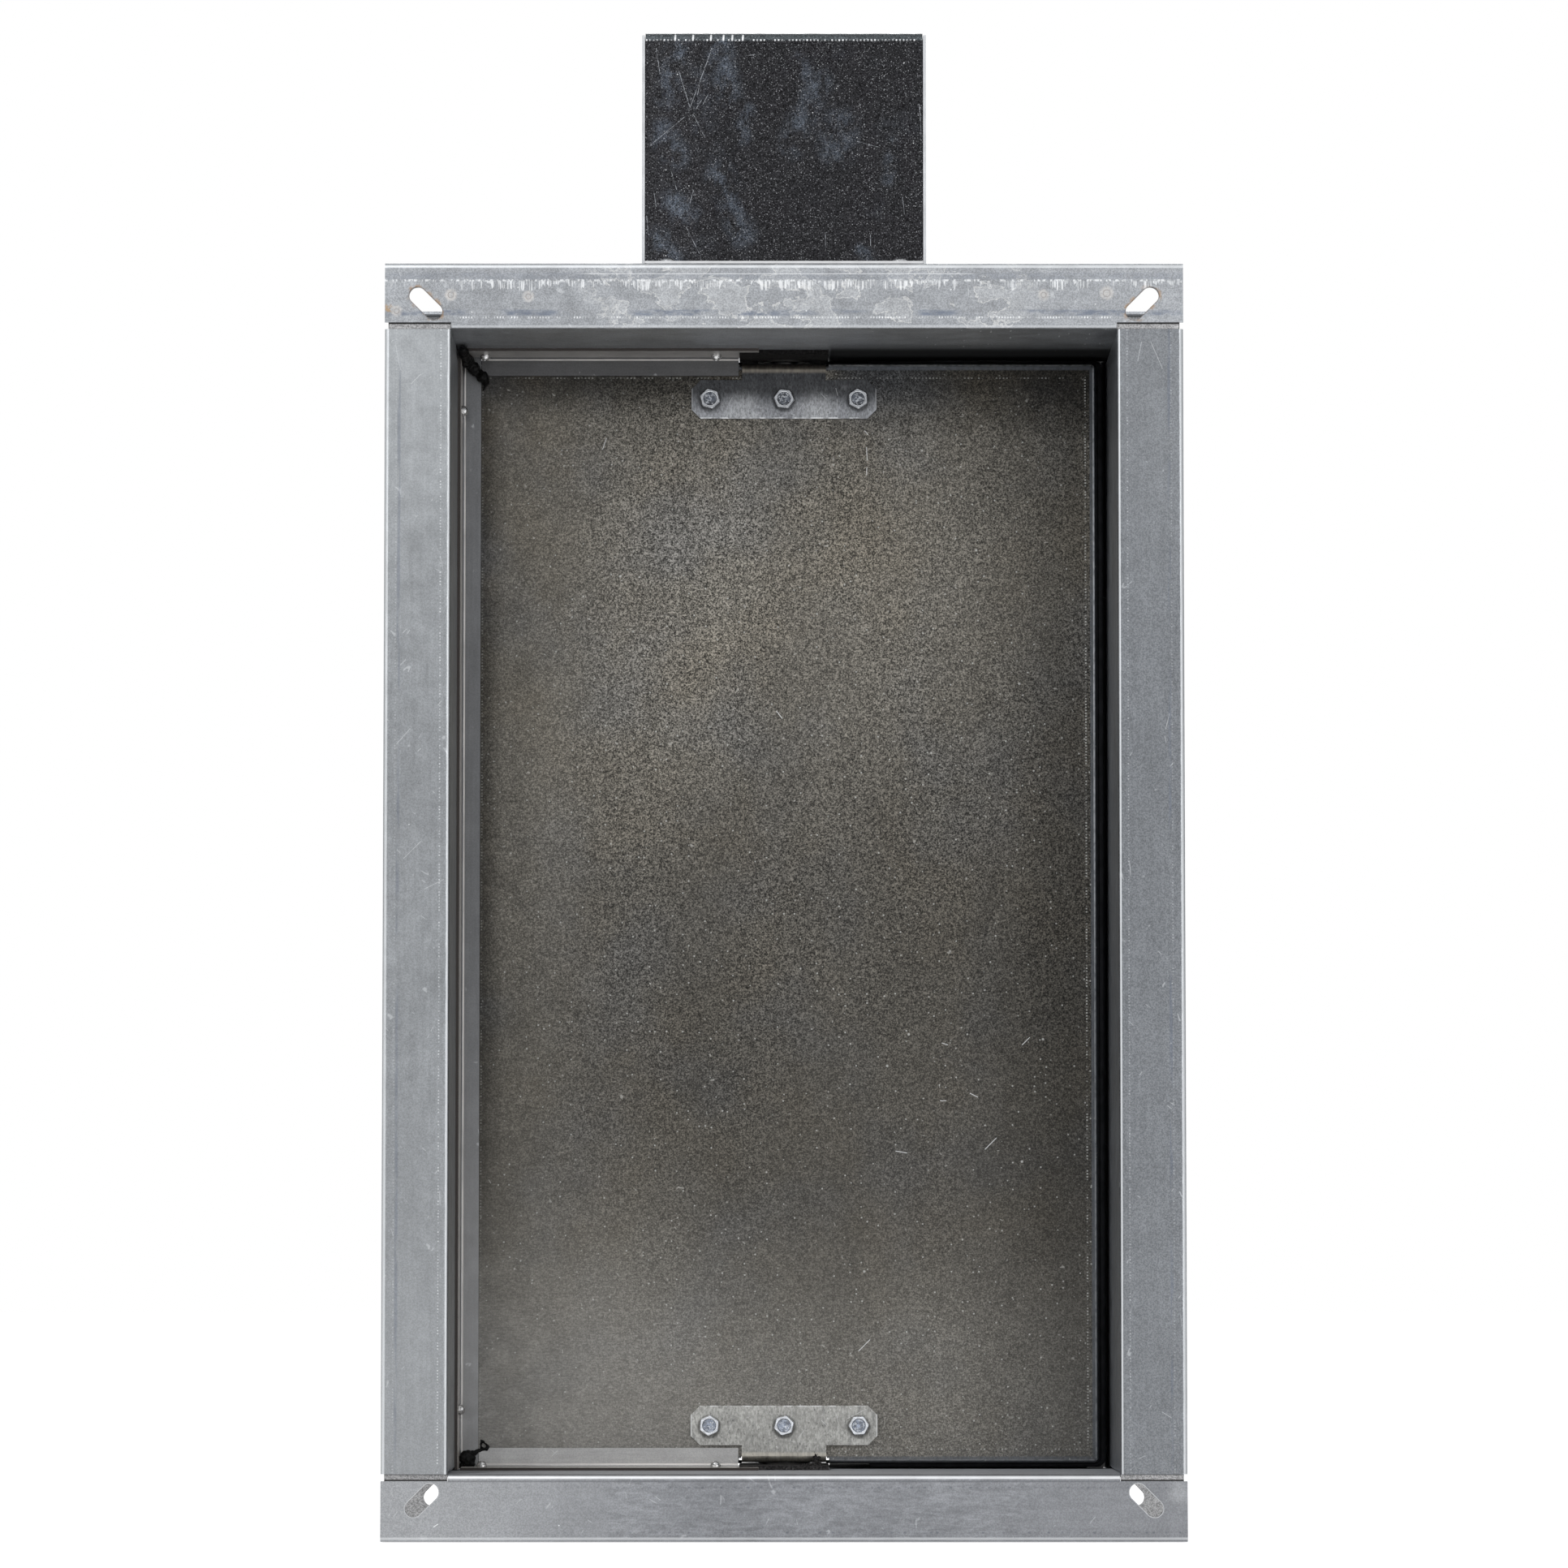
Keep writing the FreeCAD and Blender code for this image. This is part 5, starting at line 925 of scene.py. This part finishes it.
# The heads carry painted light and shade: painted shade in the sunk top with painted glints, a painted
# highlight on the crest and chamfer, painted shade on the flats, and the lower row painted lighter.
front = plated.ramp(plated.y, 3.0, 2.8)
dish = plated.all_of(plated.ramp(from_axis, 3.6, 3.3), front)
outline = plated.all_of(plated.near(plated.y, 2.35, 0.28, 0.1), plated.ramp(from_axis, 4.2, 4.4))
crest_highlight = plated.any_of(plated.all_of(plated.near(from_axis, 3.75, 0.12, 0.2), front), outline)
flats = plated.ramp(plated.y, 2.6, 2.8)
dish_glint = plated.ramp(plated.noise(1.3, 3, twist=1.0), 0.5, 0.62)
shaded = plated.ramp(plated.z, 400, 300, 1.0, 1.8)
plated.colour = plated.shade(srgb(150, 153, 158), plated.vary(0.75, 1.15, 1.6, 2), shaded)
dish_shade = plated.shade(srgb(72, 77, 86), plated.vary(0.5, 1.7, 1.8, 2), shaded, shaded)
plated.lay(dish_shade, dish)
plated.lay(srgb(214, 218, 224), dish, dish_glint, 0.75)
plated.lay(srgb(228, 230, 233), crest_highlight, 0.9)
flats_shade = plated.shade(srgb(84, 86, 90), plated.vary(0.6, 1.2, 1.5, 2), shaded)
plated.lay(flats_shade, flats, 0.85)
bolt_paint = plated.finish(plated.vary(0.14, 0.32, 1.2, 2))
piece("bracket_bolts", bolts, bolt_paint, "blade", 30)
piece("bracket_nuts", nuts, fastener_paint, "blade", 30)

# Axles. Turned steel bars welded to the brackets; the drive axle ends in a square for the actuator's hub,
# and a ring in a groove keeps the lower one in its bush.

steel = Paint("turned_steel", 0.9, 0.3)
turned = steel.vary(0.8, 1.1, 0.8, 2, (0.15, 0.15, 2.5))
# A dark band on each axle beside the pads and bushes: grease, and painted shade.
grease_and_shade = steel.near(steel.off(steel.z, blade_middle_z), 296, 12, 10)
steel.colour = steel.shade(srgb(150, 151, 152), turned)
steel.lay(srgb(20, 19, 18), grease_and_shade)
shine = steel.ramp(grease_and_shade, 0.1, 0.9, 0.9, 0.0)
wear(steel.finish(steel.vary(0.22, 0.4, 3, 3), shine), "drive_axle", "lower_axle", "lower_axle_ring")

# Console. A folded saddle of galvanised sheet, spot welded to the case, that lifts the actuator's housing
# above it. The stay that keeps the actuator from turning is of the same sheet.

saddle = galvanised("console_zinc", srgb(150, 152, 155), "y")
wear(saddle.finish(saddle.gloss), "actuator_console", "actuator_stay")

# Housing. A galvanised base whose side walls show as bright strips, and over it a cover of sheet painted
# nearly black as a painted dark reflection, with dense pale specks, bluish haze, fingerprints and scratches
# from handling.

shell = galvanised("housing_base_zinc", srgb(182, 184, 187), "z", 0.06)
wear(shell.finish(shell.gloss), "housing_base")

coat = Paint("housing_cover_coat", 0.95, 0.38)
mottle = coat.ramp(coat.noise(0.7, 2, rough=0.7), 0.32, 0.68, 0.25, 2.1)
# Painted reflection: nearly black, and lighter towards the left.
coat.colour = coat.shade(srgb(34, 34, 36), mottle, coat.ramp(coat.x, -60, -30, 1.25, 1.0))
haze = 0.0
for start, end, radius in (
    ((-64, 744), (-58, 733), 9), ((-34, 792), (-30, 766), 9), ((-56, 792), (-62, 764), 8),
    ((18, 772), (4, 738), 9), ((30, 748), (28, 736), 12), ((8, 784), (12, 776), 5),
    ((-20, 756), (-22, 742), 6), ((-58, 708), (-52, 700), 9), ((-34, 722), (-22, 690), 9),
    ((58, 738), (56, 720), 5), ((-66, 688), (-60, 676), 8), ((40, 682), (48, 676), 4),
):
    haze = coat.any_of(haze, coat.ramp(coat.away(start, end), 0, radius * 1.25, 1.0, 0.0))
cloud = coat.ramp(coat.noise(8, 5, (1, 1, 0.7), rough=0.65), 0.38, 0.64, 0.0, 1.0)
broad = coat.ramp(coat.noise(36, 3, seed=9), 0.5, 0.8, 0.0, 0.35)
hazed = coat.all_of(coat.any_of(haze, broad), cloud, coat.ramp(coat.x, -45, -20, 0.66, 0.46))
coat.lay(coat.shade(srgb(82, 89, 99), mottle), hazed)
small = coat.all_of(coat.specks(0.85, 0.34, 0.7), 0.6)
large = coat.all_of(coat.specks(1.3, 0.36, 0.6, 5), 0.9)
uneven = coat.ramp(coat.noise(0.9, 1, seed=2), 0.35, 0.65, 0.1, 1.0)
coat.lay(srgb(168, 170, 174), coat.any_of(small, large), uneven, 0.8)
coat.lay(srgb(222, 224, 226), coat.specks(6, 0.4, 0.3, 8), 0.8)
lines = 0.0
for start, end in (
    ((-39, 788), (-50, 758)), ((-53, 753), (-71, 738)), ((-56, 778), (-50, 758)), ((-48, 754), (-42, 742)),
    ((-45, 770), (-46, 765)), ((39, 740), (46, 738)), ((46, 738), (50, 737)), ((-48, 714), (-50, 707)),
    ((63, 710), (64, 701)), ((-52, 694), (-45, 680)), ((46, 690), (46, 684)), ((-69, 712), (-68, 705)),
    ((-44, 762), (-47, 757)), ((-40, 766), (-43, 760)), ((72, 760), (73, 744)), ((-68, 790), (-66, 776)),
    ((-20, 786), (-12, 787)), ((-73, 700), (-72, 690)), ((22, 690), (22, 683)), ((-60, 724), (-57, 714)),
):
    lines = coat.any_of(lines, coat.stroke(start, end, 0.22))
broken = coat.ramp(coat.noise(3, 2, seed=12), 0.38, 0.6, 0.1, 0.5)
coat.lay(srgb(190, 194, 200), lines, broken)
front = coat.ramp(coat.y, -64, -65)
# Painted highlight along the cover's top fold.
crown_highlight = coat.all_of(coat.near(coat.z, 796.3, 1.2, 1.5), 0.35)
row = coat.all_of(coat.dots(coat.x, coat.z, 794.4, 1.9, 0.9), front)
for x in (-58, -48.5, -39, -32.3, -27.6, -22):
    row = coat.any_of(row, coat.all_of(coat.stroke((x, 794.4), (x + 0.2, 797), 0.7), front))
coat.lay(srgb(118, 128, 132), crown_highlight, coat.vary(0.4, 1.2, 1, 2))
coat.lay(white_mark_and_highlight, row, 0.85)
lip = coat.any_of(coat.ramp(coat.y, -67, -68), coat.ramp(coat.y, 77, 78))
coat.lay(srgb(214, 215, 217), lip, 0.85)
coat.bump(coat.noise(1.2, 3), 0.02)
wear(coat.finish(coat.vary(0.3, 0.45, 6, 4)), "housing_cover")

# Cover screws. Four zinc plated dome screws with hexagon sockets. They go down through the cover's lips,
# two at the front and two at the back.

socket = 2.5
dome = spun(
    [(0, 4.2), (0.25, 4.5), (0.7, 4.35), (1.3, 3.8), (1.9, 2.9), (2.25, 2.2), (2.4, 1.7), (2.4, 1.5, socket),
     (0.9, 1.5, socket), (0.7, 0.3)],
    48,
)
screw = thread(2, 0.7, 9)
drive = random.Random(2)
screws = []
for x in (-61.5, 61.5):
    for y in (-72, 82):
        screws.append((dome, facing((0, 0, 1), x, y, 674.2, drive.uniform(0, 60))))
        screws.append((screw, facing((0, 0, -1), x, y, 674.2)))
piece("cover_screws", screws, fastener_paint, "case", 30)

# Actuator. A cast aluminium body on the housing's base, under the cover, with its hub clamped on the square
# of the drive axle. It closes the blade with a spring.

cast = Paint("cast_actuator", 0.4, 0.5)
cast.bump(cast.noise(0.9, 3), 0.08)
cast.colour = cast.shade(srgb(110, 112, 116), cast.vary(0.88, 1.1, 1.5, 3))
wear(cast.finish(), "actuator_body", "actuator_hub")

# Cable grommet and thermal trip. A rubber ring for the actuator's lead in the back of the cover, and a
# plastic trip on the case whose brass probe reaches into the duct behind the blade.

wear(rubber_paint, "cable_grommet")
plastic = Paint("trip_plastic", 0.0, 0.5)
plastic.bump(plastic.noise(0.6, 2), 0.03)
plastic.colour = plastic.shade(srgb(60, 60, 63), plastic.vary(0.9, 1.1, 4, 3))
wear(plastic.finish(plastic.vary(0.42, 0.58, 2, 3)), "thermal_trip_body")
brass = Paint("trip_brass", 0.9, 0.3)
brass.colour = brass.shade(srgb(196, 164, 102), brass.vary(0.85, 1.1, 2, 3))
wear(brass.finish(brass.vary(0.25, 0.42, 2, 3)), "thermal_trip_probe")

# Studio. No part of the damper: a pale matt floor, white surroundings, three soft lamps, and the camera in
# front of the duct.


def seen(tree, strength):
    """A level for camera, glossy and transmission rays alone."""
    path = tree.nodes.new("ShaderNodeLightPath")
    total = path.outputs["Is Camera Ray"]
    for name in ("Is Glossy Ray", "Is Transmission Ray"):
        join = tree.nodes.new("ShaderNodeMath")
        join.operation = "MAXIMUM"
        tree.links.new(total, join.inputs[0])
        tree.links.new(path.outputs[name], join.inputs[1])
        total = join.outputs[0]
    scale = tree.nodes.new("ShaderNodeMath")
    scale.operation = "MULTIPLY"
    tree.links.new(total, scale.inputs[0])
    scale.inputs[1].default_value = strength
    return scale.outputs[0]


ambient = 0.35
world = bpy.data.worlds.new("surroundings")
bpy.context.scene.world = world
world.use_nodes = True
tree = world.node_tree
sky = tree.nodes["Background"]
sky.inputs["Color"].default_value = (1, 1, 1, 1)
lift = tree.nodes.new("ShaderNodeMath")
lift.operation = "ADD"
tree.links.new(seen(tree, 1 - ambient), lift.inputs[0])
lift.inputs[1].default_value = ambient
tree.links.new(lift.outputs[0], sky.inputs["Strength"])

reach = 30.0
floor_mesh = bpy.data.meshes.new("floor")
corners = [(-reach, -reach, 0), (reach, -reach, 0), (reach, reach, 0), (-reach, reach, 0)]
floor_mesh.from_pydata(corners, [], [(0, 1, 2, 3)])
studio_floor = bpy.data.objects.new("floor", floor_mesh)
studio_floor.location.z = -0.5 * mm
bpy.context.scene.collection.objects.link(studio_floor)
pale = bpy.data.materials.new("floor")
pale.use_nodes = True
tree = pale.node_tree
tree.nodes.remove(tree.nodes["Principled BSDF"])
matt = tree.nodes.new("ShaderNodeBsdfDiffuse")
matt.inputs["Color"].default_value = (0.9, 0.9, 0.9, 1)
glow = tree.nodes.new("ShaderNodeEmission")
both = tree.nodes.new("ShaderNodeAddShader")
tree.links.new(seen(tree, 0.7), glow.inputs["Strength"])
tree.links.new(matt.outputs[0], both.inputs[0])
tree.links.new(glow.outputs[0], both.inputs[1])
tree.links.new(both.outputs[0], tree.nodes["Material Output"].inputs["Surface"])
floor_mesh.materials.append(pale)


def lamp(name, place, aim, size, power):
    """A soft square lamp."""
    data = bpy.data.lights.new(name, "AREA")
    data.size = size
    data.energy = power
    made = bpy.data.objects.new(name, data)
    made.location = place
    made.rotation_euler = (Vector(aim) - Vector(place)).to_track_quat("-Z", "Y").to_euler()
    bpy.context.scene.collection.objects.link(made)


lamp("key", (-1.7, -2.6, 2.4), (0, 0, 0.35), 1.5, 62)
lamp("fill", (1.6, -3.0, 0.7), (0, 0, 0.35), 1.5, 18)
lamp("back", (0.6, 2.6, 2.4), (0, 0, 0.4), 1.5, 40)

lens = bpy.data.cameras.new("camera")
lens.sensor_width = 36
lens.lens = 163.5
camera = bpy.data.objects.new("camera", lens)
camera.location = (0, -3.82, 0.134)
camera.rotation_euler = (Vector((0, -0.1, 0.395)) - camera.location).to_track_quat("-Z", "Y").to_euler()
bpy.context.scene.collection.objects.link(camera)
bpy.context.scene.camera = camera
bpy.context.scene.view_settings.view_transform = "Standard"
